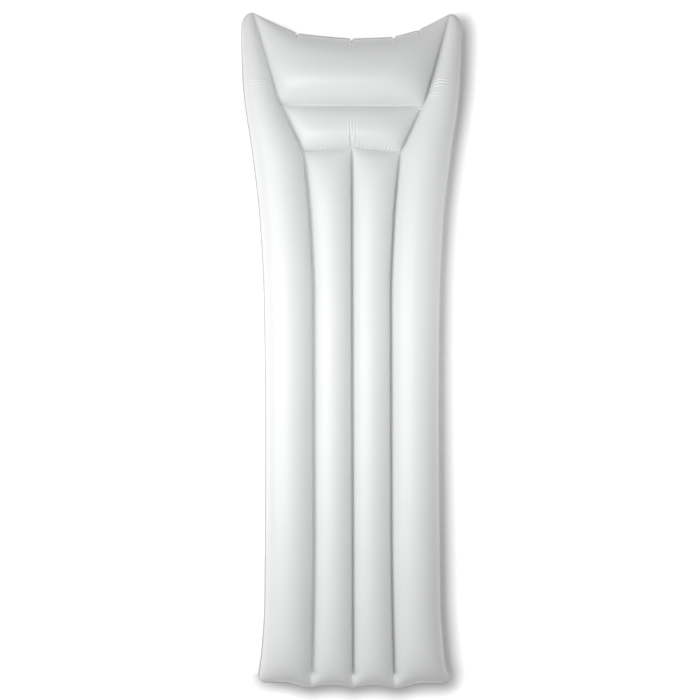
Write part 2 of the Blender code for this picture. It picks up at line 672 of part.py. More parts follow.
def valve(name, frame, sheet):
    """One valve in its frame, pushed in and plugged."""
    empty = bpy.data.objects.new(name + "_frame", None)
    bpy.context.scene.collection.objects.link(empty)
    empty.matrix_world = frame
    valve_flange(name + "_valve_flange", empty)
    valve_web(name + "_valve_web", empty)
    valve_stem(name + "_valve_stem", empty)
    valve_flap(name + "_valve_flap", empty)
    valve_plug(name + "_valve_plug", empty)
    valve_tether(name + "_valve_tether", empty)
    film_hole(sheet, name, empty)
    place, axis = frame.translation, frame.to_3x3().col[2]
    hinge = frame @ Vector((-FLAP_RADIUS - FLAP_TAB_REACH, 0.0, -STEM_SINK - STEM_LENGTH - SEAT_GAP))
    turn = frame.to_3x3().col[1]
    lines = {"origin": place, "axis": axis, "flap hinge": hinge, "flap axis": turn}
    for label, vector in lines.items():
        print(name, label, [round(float(value), 6) for value in vector])


def main():
    for old in list(bpy.data.objects):
        bpy.data.objects.remove(old)
    film = film_grid()
    finish_sheet("top_sheet", sheet_surface(film, 1))
    lower = sheet_surface(film, -1)
    plan, _, plane = film
    foot, head = plan[..., 1].min(), plan[..., 1].max()
    tube_middle = float(body_seam_half(FOOT_VALVE_INSET)) / 2
    foot_start = Vector((tube_middle, foot + FOOT_VALVE_INSET, float(plane[0, 0])))
    head_start = Vector((PILLOW_VALVE_X, head - HEAD_EDGE_DIP - PILLOW_VALVE_INSET, float(plane[-1, 0])))
    foot_frame = seat_frame(lower, foot_start, -1.0)
    head_frame = seat_frame(lower, head_start, 1.0)
    flatten_seat(lower, foot_frame, foot_start.z)
    flatten_seat(lower, head_frame, head_start.z)
    bottom = finish_sheet("bottom_sheet", lower)
    valve("body", foot_frame, bottom)
    valve("pillow", head_frame, bottom)
    bpy.context.view_layer.update()


main()
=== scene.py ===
"""White pool air mattress with a pillow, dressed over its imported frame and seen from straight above.

The two films are swollen between their welds as a pressed membrane, then get the folds that film
keeps where it has more length than its weld. The valves have their solids' own sizes. Metres, +Z
up, +Y towards the head.
"""

import math

import bmesh
import bpy
import numpy as np
from mathutils import Matrix, Vector


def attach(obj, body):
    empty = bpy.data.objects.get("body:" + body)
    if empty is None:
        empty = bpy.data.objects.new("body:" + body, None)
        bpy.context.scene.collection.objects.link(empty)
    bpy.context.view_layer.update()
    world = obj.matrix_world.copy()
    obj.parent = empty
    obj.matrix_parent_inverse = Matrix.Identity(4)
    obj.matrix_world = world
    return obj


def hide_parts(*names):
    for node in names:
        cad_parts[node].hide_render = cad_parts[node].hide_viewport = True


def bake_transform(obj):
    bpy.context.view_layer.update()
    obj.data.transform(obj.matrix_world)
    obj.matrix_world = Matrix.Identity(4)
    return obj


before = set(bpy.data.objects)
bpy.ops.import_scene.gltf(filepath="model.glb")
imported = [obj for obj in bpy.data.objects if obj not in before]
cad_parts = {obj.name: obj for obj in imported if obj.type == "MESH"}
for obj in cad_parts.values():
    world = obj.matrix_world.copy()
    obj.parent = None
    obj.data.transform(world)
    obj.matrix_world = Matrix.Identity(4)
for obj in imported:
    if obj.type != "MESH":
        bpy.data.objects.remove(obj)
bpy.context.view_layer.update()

MM = 0.001

# The mattress's own sizes. Its solids have the same ones, but for the seams round the neck and the
# pillow and the left foot corner, which are a few millimetres nearer to the photograph's.
BODY_LENGTH = 1.3805
NECK_LENGTH = 0.118
PILLOW_LENGTH = 0.234
HEAD_EDGE_DIP = 0.066
EAR_SHOULDER = 0.050
EAR_ROUND = 2.2  # 2 would be a round shoulder, 1 a straight one
FOOT_FLARE = 0.230
HEAD_FLARE = 0.640
HEAD_EDGE_POWER = 2.8  # 2 would be a round hollow, more a flatter one
NECK_ARCH = 0.011
NECK_ARCH_POWER = 1.5
NECK_ARCH_LENGTH = 0.120
SIDE_FOOT_RETREAT = 0.014
MIDDLE_FOOT_RETREAT = 0.008
MIDDLE_FOOT_POWER = 0.7
FOOT_CORNER = 0.015
FOOT_DRAW_LENGTH = 0.100
LEFT_CORNER_IN = 0.006  # the left foot corner is drawn in this much more than the right one
LEFT_CORNER_LENGTH = 0.070
SKEW = 0.010  # the welding tool lay this much askew
PILLOW_RISE_BEFORE = 0.100
PILLOW_RISE_AFTER = 0.090
FOOT_HALF = 0.2495
WAIST_HALF = 0.2257
NECK_HALF = 0.2580
EAR_HALF = 0.2852
SEAM_FOOT_HALF = 0.1067
SEAM_WAIST_HALF = 0.0997
SEAM_NECK_HALF = 0.1252
SEAM_TURN_HALF = 0.1911
SEAM_TURN = 0.020  # the side seams turn towards the ears this far past the pillow's seam
EAR_TIP_HALF = 0.2518
FILM = 0.25 * MM
WELD_GAP = 0.3 * MM
LAND = 4.0 * MM
NECK_LAND = 2.0 * MM
PILLOW_LAND = 4.5 * MM
RIM = 3.0 * MM
FULLNESS = 0.86
FLOOR_FLAT = 1.0 * MM
FOOT_PASSAGE = 0.038
NECK_PASSAGE_SHARE = 0.93
NECK_SPREAD_SHARE = 0.30
TUBE_END_SLOPE = 0.026
NECK_END_SLOPE = 0.006
PILLOW_END_SLOPE = 0.010
SLOPE_FADE = 6.0
PILLOW_FULLEST = 1.2
PILLOW_LEAN = 0.45  # the pillow and the neck are fuller towards the foot
NECK_LEAN = 0.45
NECK_EVEN = 0.55  # where the neck is as full as without its lean
CREASE_DEPTH = (0.30, 0.60)  # of the creases between the tubes, at the foot edge and at their welds
CREASE_SHAPE = ((0.86, 11.0 * MM), (0.14, 4.0 * MM))  # each is a share of the depth, and its width
CREASE_FADE = (4.0 * MM, 28.0 * MM)  # they fade from this far before the seams' ends, over this length
NECK_AT = BODY_LENGTH
PILLOW_AT = BODY_LENGTH + NECK_LENGTH
LENGTH = BODY_LENGTH + NECK_LENGTH + PILLOW_LENGTH
HALF_LENGTH = LENGTH / 2

# The valves. Each has its origin on the film and its axis out of it.
VALVE_SEATS = {
    "body": ((0.053133, -0.84643, 0.025133), (0.0, -0.766044, -0.642788)),
    "pillow": ((0.075, 0.778851, 0.020768), (0.0, 0.766044, -0.642788)),
}
SEAT_GAP = 0.3 * MM
BORE_RADIUS = 3.9 * MM
MOUTH_CHAMFER = 0.8 * MM
STEM_RADIUS = BORE_RADIUS + 2.1 * MM
STEM_LENGTH = 30.0 * MM
STEM_SINK = 0.9 * MM
COLLAR_RADIUS = STEM_RADIUS + 1.0 * MM
COLLAR_THICK = 1.7 * MM
FOOT_LIP = 0.8 * MM
FOOT_THICK = 1.5 * MM
WEB_THICK = 0.7 * MM
WEB_DEPTH = 9.0 * MM
WEB_BOW = 0.35 * MM
WEB_STEPS = 8
LIP_RADIUS = COLLAR_RADIUS + 3.9 * MM
LIP_THICK = 0.8 * MM
LIP_RISE = 0.15 * MM
FLANGE_WIDTH = 5.3 * MM
FLANGE_THICK = 0.8 * MM
HOLE_RADIUS = LIP_RADIUS + LIP_THICK + SEAT_GAP
SEAT_FLAT = 24.0 * MM
SEAT_BLEND = 18.0 * MM
SEAT_EDGE = SEAT_FLAT + SEAT_BLEND
SEAT_DROP = 12.0 * MM
HOLE_TRIM = 0.6 * MM
PLUG_CLEARANCE = 0.3 * MM
PLUG_LENGTH = 9.4 * MM
PLUG_TAPER = 0.9 * MM
HEAD_RADIUS = BORE_RADIUS + 2.5 * MM
HEAD_THICK = 3.8 * MM
HEAD_BEVEL = 0.7 * MM
DISH_DEPTH = 0.8 * MM
DISH_SHARES = (0.72, 0.62)  # of the head's radius, at the dish's rim and floor
PULL_TAB_REACH = 4.6 * MM
PULL_TAB_WIDTH = 6.0 * MM
PULL_TAB_THICK = 1.2 * MM
GRIP_RIBS = 3
GRIP_START = 1.1 * MM
GRIP_STEP = 1.0 * MM
GRIP_WIDTH = 0.45 * MM
GRIP_RISE = 0.3 * MM
GRIP_SINK = 0.05 * MM
FLAP_RADIUS = BORE_RADIUS + 1.7 * MM
FLAP_THICK = 0.6 * MM
FLAP_TAB_REACH = 1.0 * MM
FLAP_TAB_WIDTH = 4.0 * MM
TETHER_THICK = 0.8 * MM
TETHER_WIDTH = 4.0 * MM
TETHER_REACH = 10.5 * MM
TETHER_CLEAR = 0.5 * MM
TETHER_TURN = 1.8 * MM
ROUND_STEPS = 72
BEND_STEPS = 12
FLANGE_EDGE = 0.25 * MM  # how far the mouldings' edges are rounded
STEM_EDGE = 0.3 * MM
TAB_EDGE = 0.2 * MM
TETHER_EDGE = 0.15 * MM

# How finely the films are drawn.
MIDDLE_STRIPS = 72
SIDE_STRIPS = 36
FOLD_STEP = 1.3 * MM  # along the mattress, where there are folds
FINE_STEP = 2.4 * MM
COARSE_STEP = 14.0 * MM  # along the plain length of the tubes
FINE_ZONE = 0.130  # the tubes have fine rows this far from the foot, and from the neck seam
SEAM_ZONE = 0.012  # and rows that close in on the neck seam over this last stretch
SEAM_ROWS = 6
SEAM_ROWS_POWER = 1.6
PLAIN_PILLOW = (0.36, 0.86)  # shares of the pillow between its folds
PLAIN_TUBES = (0.35, 0.75)  # the stretch of the tubes that gives their height
# Strips stand closer at the head edge's gathers (side, share of the pillow's half width) and at the
# pleats: this much closer, over this share of the half width.
GATHER_SHARES = ((-1, 0.550), (1, 0.428), (1, 0.679))
PLEAT_CROWD = (1.5, 0.09)
GATHER_CROWD = (5.0, 0.035)
SOLVER_STEPS = 4000
SOLVER_END = 1e-10  # it stops at this share of its first error
TINY = 1e-12

# Folds are groups of parallel ridges. A window is (the length of a fold's rise from the weld, where
# its fall begins, the length of its fall).
PLEAT_HEIGHT = 2.3 * MM  # over the end of the middle seam
PLEAT_SPACING = 7.7 * MM
PLEAT_SPREAD = 13.0 * MM
PLEAT_WINDOW = (30.0 * MM, 50.0 * MM, 36.0 * MM)
CREASE_LINES = ((5.2, 2.8, 1.2), (-1.5, 2.6, -3.0), (-7.5, 2.6, 0.6))  # (x, width, height) in mm
CREASE_WINDOW = (4.0 * MM, 18.0 * MM, 30.0 * MM)
FAN_HEIGHT = 1.9 * MM  # small gathers all along the neck seam
FAN_SPACING = 9.0 * MM
FAN_OPENS = 6.0  # they stand this much wider apart, as a share, a metre from the seam
FAN_FROM_MIDDLE = 10.0 * MM
FAN_ACROSS = (12.0 * MM, 98.0 * MM, 16.0 * MM)
FAN_WINDOW = (3.0 * MM, 0.0, 34.0 * MM)
FAN_UNEVEN = (0.35, 13.5 * MM)  # how much the gathers differ in height, and over what length
FAN_WANDER = (0.15, 19.0 * MM)  # and in spacing
# Bowed wrinkles on the side tubes beside the pillow: (side, middle of the group, half its length
# along the mattress, reach from the seam, spacing, height in mm, bow at the outer end).
WRINKLES = (
    (1, 0.6915, 0.0130, 0.056, 0.0077, 2.40, 0.006),
    (1, 0.6580, 0.0125, 0.038, 0.0077, 2.00, 0.006),
    (-1, 0.6850, 0.0090, 0.084, 0.0070, 1.60, 0.001),
    (-1, 0.6440, 0.0080, 0.054, 0.0070, 1.40, 0.001),
)
WRINKLE_CREST = 24.0 * MM  # a wrinkle is nearest the head this far from the seam
WRINKLE_BOW = 5.0 * MM  # and at the seam this much nearer the foot than at its outer end
WRINKLE_OUT = 30.0 * MM
WRINKLE_RISE = 4.0 * MM
WRINKLE_SHARPNESS = 1.6
EAR_PUCKER_AT = (0.2750, 0.8510)
EAR_PUCKER_SIZE = (7.0 * MM, 9.0 * MM)
EAR_PUCKER_HEIGHT = 1.0 * MM
EAR_PUCKER_SPACING = 5.2 * MM
EAR_PUCKER_LEAN = 0.35
WELD_END_SIZE = (11.0 * MM, 12.0 * MM)
WELD_END_HEIGHT = 0.4 * MM
WELD_END_SPACING = 8.0 * MM
WELD_END_BACK = 4.0 * MM
# The folds gathered into the head edge's weld: (x, how far the edge is drawn in there, lean, size).
HEAD_GATHERS = (
    (-0.1394, 0.0525, -0.10, 1.0),
    (0.0, 0.0655, 0.05, 1.0),
    (0.1085, 0.0605, 0.16, 1.0),
    (0.1723, 0.0415, 0.22, 0.6),
)
HEAD_EDGE_STRAIGHT = 0.75  # the edge is nearly straight from gather to gather
GATHER_HEIGHT = 3.8 * MM
GATHER_RISE = 2.0 * MM
GATHER_SPACING = 7.2 * MM
GATHER_SPREAD = 8.5 * MM
GATHER_LENGTH = 34.0 * MM
GATHER_TAIL = 4.0 * MM
GATHER_DRAW = 6.0 * MM  # how deep a notch each of them draws into the edge
NOTCH_WIDTH = 3.6 * MM
NOTCH_LENGTH = 10.0 * MM
GATHER_ZONE = (0.70, 0.03)  # gathers are on the film past this y, over this length
EAR_TIP_CLEAR = (7.0 * MM, 10.0 * MM)  # and stay this far from the ears' tips
FREE_HEIGHT = 6.0 * MM  # film nearer its weld plane than this can't fold freely
LEFT_CORNER_ZONE = (-0.16, 0.09)  # the x where it begins, and over what width

# Painted shade in the welds: how far the film is greyed towards the painted seam shade, set seam by
# seam and side by side for how the light falls there. Any value but FREE also marks a weld.
FREE = 0.0
SEAM_SHADE = 0.45
LEFT_SEAM_SHADE = 0.02
NECK_SEAM_SHADE = 0.45
PILLOW_SEAM_SHADE = 0.17
LEFT_OUTLINE_SHADE = 0.7
RIGHT_OUTLINE_SHADE = 0.15
FOOT_OUTLINE_SHADE = 0.15
HEAD_OUTLINE_SHADE = 0.02

# Finishes.
FILM_WHITE = "#EDEEEE"
FILM_CLOUD = "#E9EAEA"
# painted shade for the seams' valleys and the outline's rim, mixed in where the film is welded
PAINTED_SEAM_SHADE = "#B4B4B4"
FILM_ROUGHNESS = (0.32, 0.42)
CLOUDS_PER_METRE = 9.0  # faint clouds about 110 mm across
GRAINS_PER_METRE = 900.0  # a grain of 1.1 mm, coarser than the real one so that it shows
MOULD_WAVES_PER_METRE = 300.0  # 3.3 mm apart
MOULD_WAVE_HEIGHT = 0.3 * MM
RIB_SCALE = 260.0  # ribs 1.2 mm apart: Blender's wave repeats every 0.314 / scale
RIB_HEIGHT = 0.2 * MM
GRAIN_SHARE = 0.15  # of the ribs' height
PVC_IOR = 1.53
CLEAR_PVC = "#D9E0E2"
CLEARNESS = 0.35
WHITE_PVC = "#EDEEEC"

# The studio. Softboxes are (name, place, watts, size across and along the mattress).
SOFTBOXES = (
    ("key_softbox", (-0.9, 0.0, 1.3), 17.4, 1.0, 1.8),
    ("overhead_softbox", (0.1, 0.1, 1.2), 1.2, 0.8, 0.8),
    ("right_strip", (0.8, 0.2, 0.5), 1.4, 0.4, 1.5),
    ("head_strip", (-0.3, 1.7, 0.8), 1.2, 1.2, 0.6),
)
WORLD_LIGHT = 0.352
FLOOR_HALF = (0.55, 1.05)  # the finely divided part of the floor
FLOOR_CUTS = (150, 230)
FLOOR_RUN = 6.0  # and how far its rim runs on
FLOOR_WHITE = "#F4F4F4"
# The floor's painted glow is held back near the sides facing this way, leaving the real shadow there,
# and is strongest near the pillow, where it paints out most of the real shadow beyond the head.
SHADE_WAY = (0.70, -0.71)  # the shadow falls this way
SHADE_REACH = 8.0 * MM  # and stays dark this far out from the mattress
GATHERS_PASSED = 12  # outline points, wide enough to pass over the gathers
GLOW_NEAR = (0.28, 0.50)  # of the floor close to the tubes, and to the pillow, on the lit side
PILLOW_GLOW = (0.70, 0.10)  # the second begins past this y, over this length
GLOW_FOOT = 0.08  # and at the foot on the shaded side
GLOW_RISE = 13.0  # for each metre away from the mattress
GLOW_MOST = 0.9
GLOW_UNDER = (0.02, 0.08)  # it fades out this far in under the mattress, over this length
SENSOR_WIDTH = 36.0
CAMERA_HEIGHT = 6.0
FOCUS_HEIGHT = 0.06
PIXEL = 2.572 * MM  # of the photograph, at that height
PHOTO_PIXELS = 700
CAMERA_OFF = (-2.3, 1.48)  # pixels from the middle of the mattress
CAMERA_TURN = -0.15  # degrees


def between(a, b, share):
    """The value this share of the way from a to b."""
    return a + (b - a) * share


def ease(t):
    """0 to 1 with a smooth start and end."""
    t = np.clip(t, 0.0, 1.0)
    return t * t * (3.0 - 2.0 * t)


def hump(t):
    """1 at 0, fading to 0 by about 2.5 on either side."""
    return np.exp(-np.square(t))


def smooth_curve(stations, at):
    """A curve through (position, value) stations that never overshoots them."""
    x, y = (np.array(column, float) for column in zip(*stations))
    at = np.clip(at, x[0], x[-1])
    step = np.diff(x)
    slope = np.diff(y) / step
    tangent = np.zeros(len(x))
    for k in range(1, len(x) - 1):
        if slope[k - 1] * slope[k] > 0:
            tangent[k] = 2.0 / (1.0 / slope[k - 1] + 1.0 / slope[k])
    tangent[0], tangent[-1] = slope[0], slope[-1]
    k = np.clip(np.searchsorted(x, at) - 1, 0, len(step) - 1)
    t = (at - x[k]) / step[k]
    rise = y[k] * (1 + 2 * t) * (1 - t) ** 2 + y[k + 1] * t * t * (3 - 2 * t)
    return rise + step[k] * (tangent[k] * t * (1 - t) ** 2 - tangent[k + 1] * t * t * (1 - t))


def outer_half(along):
    """Half the mattress's width at a distance from the foot edge."""
    stations = (
        (0.0, FOOT_HALF),
        (0.4 * FOOT_FLARE, between(WAIST_HALF, FOOT_HALF, 0.46)),
        (FOOT_FLARE, between(WAIST_HALF, FOOT_HALF, 0.11)),
        (NECK_AT - HEAD_FLARE, WAIST_HALF),
        (NECK_AT - 0.60 * HEAD_FLARE, between(WAIST_HALF, NECK_HALF, 0.08)),
        (NECK_AT - 0.28 * HEAD_FLARE, between(WAIST_HALF, NECK_HALF, 0.39)),
        (NECK_AT, NECK_HALF),
        (PILLOW_AT + 0.05 * PILLOW_LENGTH, between(NECK_HALF, EAR_HALF, 0.67)),
        (PILLOW_AT + 0.32 * PILLOW_LENGTH, between(NECK_HALF, EAR_HALF, 0.85)),
        (LENGTH - EAR_SHOULDER, EAR_HALF),
    )
    return smooth_curve(stations, along)


def body_seam_half(along):
    """Distance from the middle to a seam between a side tube and a middle tube."""
    stations = (
        (0.0, SEAM_FOOT_HALF),
        (0.87 * FOOT_FLARE, between(SEAM_WAIST_HALF, SEAM_FOOT_HALF, 0.35)),
        (1.74 * FOOT_FLARE, SEAM_WAIST_HALF),
        (NECK_AT - 0.60 * HEAD_FLARE, SEAM_WAIST_HALF),
        (NECK_AT - 0.28 * HEAD_FLARE, between(SEAM_WAIST_HALF, SEAM_NECK_HALF, 0.31)),
        (NECK_AT - 0.08 * HEAD_FLARE, between(SEAM_WAIST_HALF, SEAM_NECK_HALF, 0.75)),
        (NECK_AT, SEAM_NECK_HALF),
    )
    return smooth_curve(stations, along)


def seam_half(along):
    """Distance from the middle to the side seams anywhere along the mattress."""
    places = (NECK_AT, PILLOW_AT + SEAM_TURN, LENGTH)
    upper = np.interp(along, places, (SEAM_NECK_HALF, SEAM_TURN_HALF, EAR_TIP_HALF))
    return np.where(along < NECK_AT, body_seam_half(np.minimum(along, NECK_AT)), upper)


def head_edge(x):
    """How far the head edge is drawn in below the ear tips."""
    places, draws, _, _ = zip(*HEAD_GATHERS)
    straight = np.interp(x, [-EAR_TIP_HALF, *places, EAR_TIP_HALF], [0.0, *draws, 0.0])
    curved = HEAD_EDGE_DIP * (1.0 - (np.abs(x) / EAR_TIP_HALF) ** HEAD_EDGE_POWER)
    return between(curved, straight, HEAD_EDGE_STRAIGHT)


def window(at, rise, fall_from, fall):
    """1 on a stretch, easing in from 0 over its rise and out again over its fall."""
    return ease(at / rise) * (1.0 - ease((at - fall_from) / fall))


def even_then(start, end, step):
    """Places from start up to, not including, end, about a step apart."""
    count = max(1, round((end - start) / step))
    return list(start + (end - start) * np.arange(count) / count)


def near_welds(count, blend=0.55):
    """Shares from 0 to 1 that stand closer at both ends: part as on a circle, part even."""
    k = np.arange(count + 1) / count
    return blend * (1.0 - np.cos(math.pi * k)) / 2 + (1.0 - blend) * k


def plan_rows():
    """The crosswise lines of the films, from foot to head, as (zone, place). A place is in metres
    from the foot edge in the body, and a share of its zone in the neck and the pillow."""
    neck = NECK_AT - NECK_LAND / 2
    foot_count = round(FOOT_PASSAGE / FINE_STEP)
    turn = math.pi / 2 / foot_count
    places = [FOOT_PASSAGE * (1.0 - math.cos(turn * k)) for k in range(foot_count)]
    places += even_then(FOOT_PASSAGE, FINE_ZONE, FINE_STEP)
    places += even_then(FINE_ZONE, neck - FINE_ZONE, COARSE_STEP)
    places += even_then(neck - FINE_ZONE, neck - SEAM_ZONE, FINE_STEP)
    closing = ((1.0 - k / SEAM_ROWS) ** SEAM_ROWS_POWER for k in range(SEAM_ROWS + 1))
    places += [neck - SEAM_ZONE * share for share in closing]
    rows = [("body", place) for place in places]
    count = round(NECK_LENGTH / (1.4 * FOLD_STEP))
    rows += [("neck", share) for share in near_welds(count, 0.4)]
    length = PILLOW_LENGTH - HEAD_EDGE_DIP / 2
    low, high = PLAIN_PILLOW
    for start, end, step in ((0.0, low, FOLD_STEP), (low, high, FINE_STEP), (high, 1.0, FOLD_STEP)):
        rows += [("pillow", share) for share in even_then(start, end, step / length)]
    return rows + [("pillow", 1.0)]


def gathered_shares(mirror, gather):
    """Shares from the middle to the seam, closer together where the film has narrow folds."""
    fine = np.linspace(0.0, 1.0, 2001)
    more, width = PLEAT_CROWD
    density = 1.0 + (1.0 - gather) * more * hump(fine / width)
    more, width = GATHER_CROWD
    for place in [0.0] + [share for side, share in GATHER_SHARES if side == mirror]:
        density = density + gather * more * hump((fine - place) / width)
    total = np.concatenate([[0.0], np.cumsum(density[1:] + density[:-1])])
    at = (2 * np.arange(MIDDLE_STRIPS + 1) + 1) / (2 * MIDDLE_STRIPS + 1)
    return np.interp(at * total[-1], total, fine)


def row_seam(zone, place):
    """(x, y) of the side seam on a row."""
    y = place
    if zone == "neck":
        y = between(NECK_AT + NECK_LAND / 2, PILLOW_AT - PILLOW_LAND / 2, place)
    elif zone == "pillow":
        y = between(PILLOW_AT + PILLOW_LAND / 2, LENGTH, place)
    return float(seam_half(y)), y


def middle_points(zone, place, mirror):
    """Points of a row over one middle tube and its half of the neck and pillow, middle to seam."""
    seam_x, seam_y = row_seam(zone, place)
    low, high = LAND / 2, seam_x - LAND / 2
    share = near_welds(MIDDLE_STRIPS)
    spread = {"body": 0.0, "neck": float(ease(place / NECK_SPREAD_SHARE)), "pillow": 1.0}[zone]
    gather = float(ease((place - 0.4) / 0.45)) if zone == "pillow" else 0.0
    x = between(between(low, high, share), high * gathered_shares(mirror, gather), spread)
    arch = NECK_ARCH * (1.0 - x / seam_x) ** NECK_ARCH_POWER
    if zone == "body":
        bump = np.sin(math.pi * share).clip(0.0) ** MIDDLE_FOOT_POWER
        y = seam_y + MIDDLE_FOOT_RETREAT * bump * max(0.0, 1.0 - place / FOOT_DRAW_LENGTH) ** 2
        y = y + arch * max(0.0, 1.0 - (NECK_AT - place) / NECK_ARCH_LENGTH) ** 2
    elif zone == "neck":
        y = seam_y + arch * (1.0 - place)
    else:
        head = LENGTH - head_edge(mirror * x * EAR_TIP_HALF / seam_x)
        y = between(PILLOW_AT + PILLOW_LAND / 2, head, place)
    return np.stack([x, y + 0.0 * x], 1)


def side_points(zone, place):
    """Points of a row over one side tube, from the seam out to the outline."""
    seam_x, seam_y = row_seam(zone, place)
    edge_y = seam_y
    if zone == "pillow":
        edge_y = between(PILLOW_AT + PILLOW_LAND / 2, LENGTH - EAR_SHOULDER, place)
    high = float(outer_half(edge_y)) - RIM
    share = near_welds(SIDE_STRIPS, 0.8)
    x = between(seam_x + LAND / 2, high, share)
    y = seam_y - (seam_y - edge_y) * (1.0 - (1.0 - share**EAR_ROUND).clip(0.0) ** (1.0 / EAR_ROUND))
    if zone == "body":
        draw = SIDE_FOOT_RETREAT * ease(share / 0.5)
        into = ((x - (high - FOOT_CORNER)) / FOOT_CORNER).clip(0.0, 1.0)
        draw += FOOT_CORNER * (1.0 - np.sqrt(1.0 - into * into))
        y = y + draw * max(0.0, 1.0 - place / FOOT_DRAW_LENGTH) ** 2
    return np.stack([x, y], 1)


def plan_grid(rows):
    """(rows, columns, 2) plan points of the film inside its rim, left to right."""
    grid = []
    for zone, place in rows:
        side = side_points(zone, place)
        right = np.concatenate([middle_points(zone, place, 1.0), side])
        left = np.concatenate([middle_points(zone, place, -1.0), side])[::-1] * (-1.0, 1.0)
        grid.append(np.concatenate([left, right]))
    return np.array(grid)


def welded(rows):
    """Where the two films are welded, FREE where they aren't, and how much painted shade each weld
    gets.
    """
    columns = 2 * (MIDDLE_STRIPS + SIDE_STRIPS + 2)
    weld_and_shade = np.full((len(rows), columns), FREE)
    middle = columns // 2
    left = [SIDE_STRIPS, SIDE_STRIPS + 1]
    right = [columns - SIDE_STRIPS - 2, columns - SIDE_STRIPS - 1]
    neck_rows = [j for j, (zone, _) in enumerate(rows) if zone == "neck"]
    cross_seams = {neck_rows[0] - 1: NECK_SEAM_SHADE, neck_rows[0]: NECK_SEAM_SHADE}
    cross_seams |= {neck_rows[-1]: PILLOW_SEAM_SHADE, neck_rows[-1] + 1: PILLOW_SEAM_SHADE}
    for j, (zone, place) in enumerate(rows):
        in_body = zone == "body" and place > FOOT_PASSAGE - TINY
        side_open = zone == "neck" and NECK_PASSAGE_SHARE < place < 1.0
        if in_body or (zone != "body" and not side_open):
            weld_and_shade[j, left] = LEFT_SEAM_SHADE
            weld_and_shade[j, right] = SEAM_SHADE
        if in_body:
            weld_and_shade[j, middle - 1 : middle + 1] = SEAM_SHADE
        if j in cross_seams:
            weld_and_shade[j, SIDE_STRIPS : columns - SIDE_STRIPS] = cross_seams[j]
        # Painted shade along the outline: heaviest on the left side, easing to the head's over the
        # upper pillow, light on the right and at the foot.
        ear = ease((place - 0.3) / 0.7) if zone == "pillow" else 0.0
        weld_and_shade[j, 0], weld_and_shade[j, -1] = between(LEFT_OUTLINE_SHADE, HEAD_OUTLINE_SHADE, ear), RIGHT_OUTLINE_SHADE
    weld_and_shade[0], weld_and_shade[-1] = FOOT_OUTLINE_SHADE, HEAD_OUTLINE_SHADE
    return weld_and_shade


def swell(plan, weld_and_shade):
    """How high air lifts the film above its welds: the root of a pressed membrane's height."""
    rows, columns = weld_and_shade.shape
    stiff = {(dj, di): np.zeros((rows, columns)) for dj in (-1, 0, 1) for di in (-1, 0, 1)}
    load = np.zeros((rows, columns))
    corner = {(j, i): plan[j : rows - 1 + j, i : columns - 1 + i] for j in (0, 1) for i in (0, 1)}
    # Each cell of the grid is cut both ways into two triangles, and counts half each way.
    one_way = (((0, 0), (0, 1), (1, 1)), ((0, 0), (1, 1), (1, 0)))
    other_way = (((0, 0), (0, 1), (1, 0)), ((0, 1), (1, 1), (1, 0)))
    for triangle in one_way + other_way:
        p = [corner[key] for key in triangle]
        edge = [p[(k + 2) % 3] - p[(k + 1) % 3] for k in range(3)]
        area = 0.5 * np.abs(edge[0][..., 0] * edge[1][..., 1] - edge[0][..., 1] * edge[1][..., 0])
        area = np.maximum(area, TINY)
        for m, (mj, mi) in enumerate(triangle):
            load[mj : rows - 1 + mj, mi : columns - 1 + mi] += area / 6.0
            for n, (nj, ni) in enumerate(triangle):
                part = (edge[m] * edge[n]).sum(-1) / (8.0 * area)
                stiff[nj - mj, ni - mi][mj : rows - 1 + mj, mi : columns - 1 + mi] += part
    free = weld_and_shade == FREE
    diagonal = np.where(free, stiff[0, 0], 1.0)

    def pull(field):
        padded = np.zeros((rows + 2, columns + 2))
        padded[1:-1, 1:-1] = field
        total = np.zeros((rows, columns))
        for (dj, di), part in stiff.items():
            total += part * padded[1 + dj : rows + 1 + dj, 1 + di : columns + 1 + di]
        return total * free

    height = np.zeros((rows, columns))
    rest = load * free
    guess = rest / diagonal
    way = guess.copy()
    energy = (rest * guess).sum()
    start = energy
    for _ in range(SOLVER_STEPS):
        pulled = pull(way)
        step = energy / (way * pulled).sum()
        height += step * way
        rest -= step * pulled
        guess = rest / diagonal
        new = (rest * guess).sum()
        if new < SOLVER_END * start:
            break
        way = guess + (new / energy) * way
        energy = new
    return FULLNESS * np.sqrt(2.0 * np.maximum(height, 0.0))


def outline_rim(plan):
    """The plan grid with one more row and column all round, the outline weld's outer edge."""
    rows, columns, _ = plan.shape
    wide = np.zeros((rows + 2, columns + 2, 2))
    wide[1:-1, 1:-1] = plan

    def out_from(line, turn):
        along = np.gradient(line, axis=0)
        along /= np.linalg.norm(along, axis=1)[:, None]
        return line + RIM * turn * np.stack([along[:, 1], -along[:, 0]], 1)

    wide[0, 1:-1] = out_from(plan[0], 1.0)
    wide[-1, 1:-1] = out_from(plan[-1], -1.0)
    wide[1:-1, 0] = out_from(plan[:, 0], -1.0)
    wide[1:-1, -1] = out_from(plan[:, -1], 1.0)
    for j, beside in ((0, 1), (-1, -2)):
        for i, inner in ((0, 1), (-1, -2)):
            middle = (wide[j, inner] + wide[beside, i]) / 2 - wide[beside, inner]
            wide[j, i] = wide[beside, inner] + middle * RIM / max(np.linalg.norm(middle), TINY)
    return wide


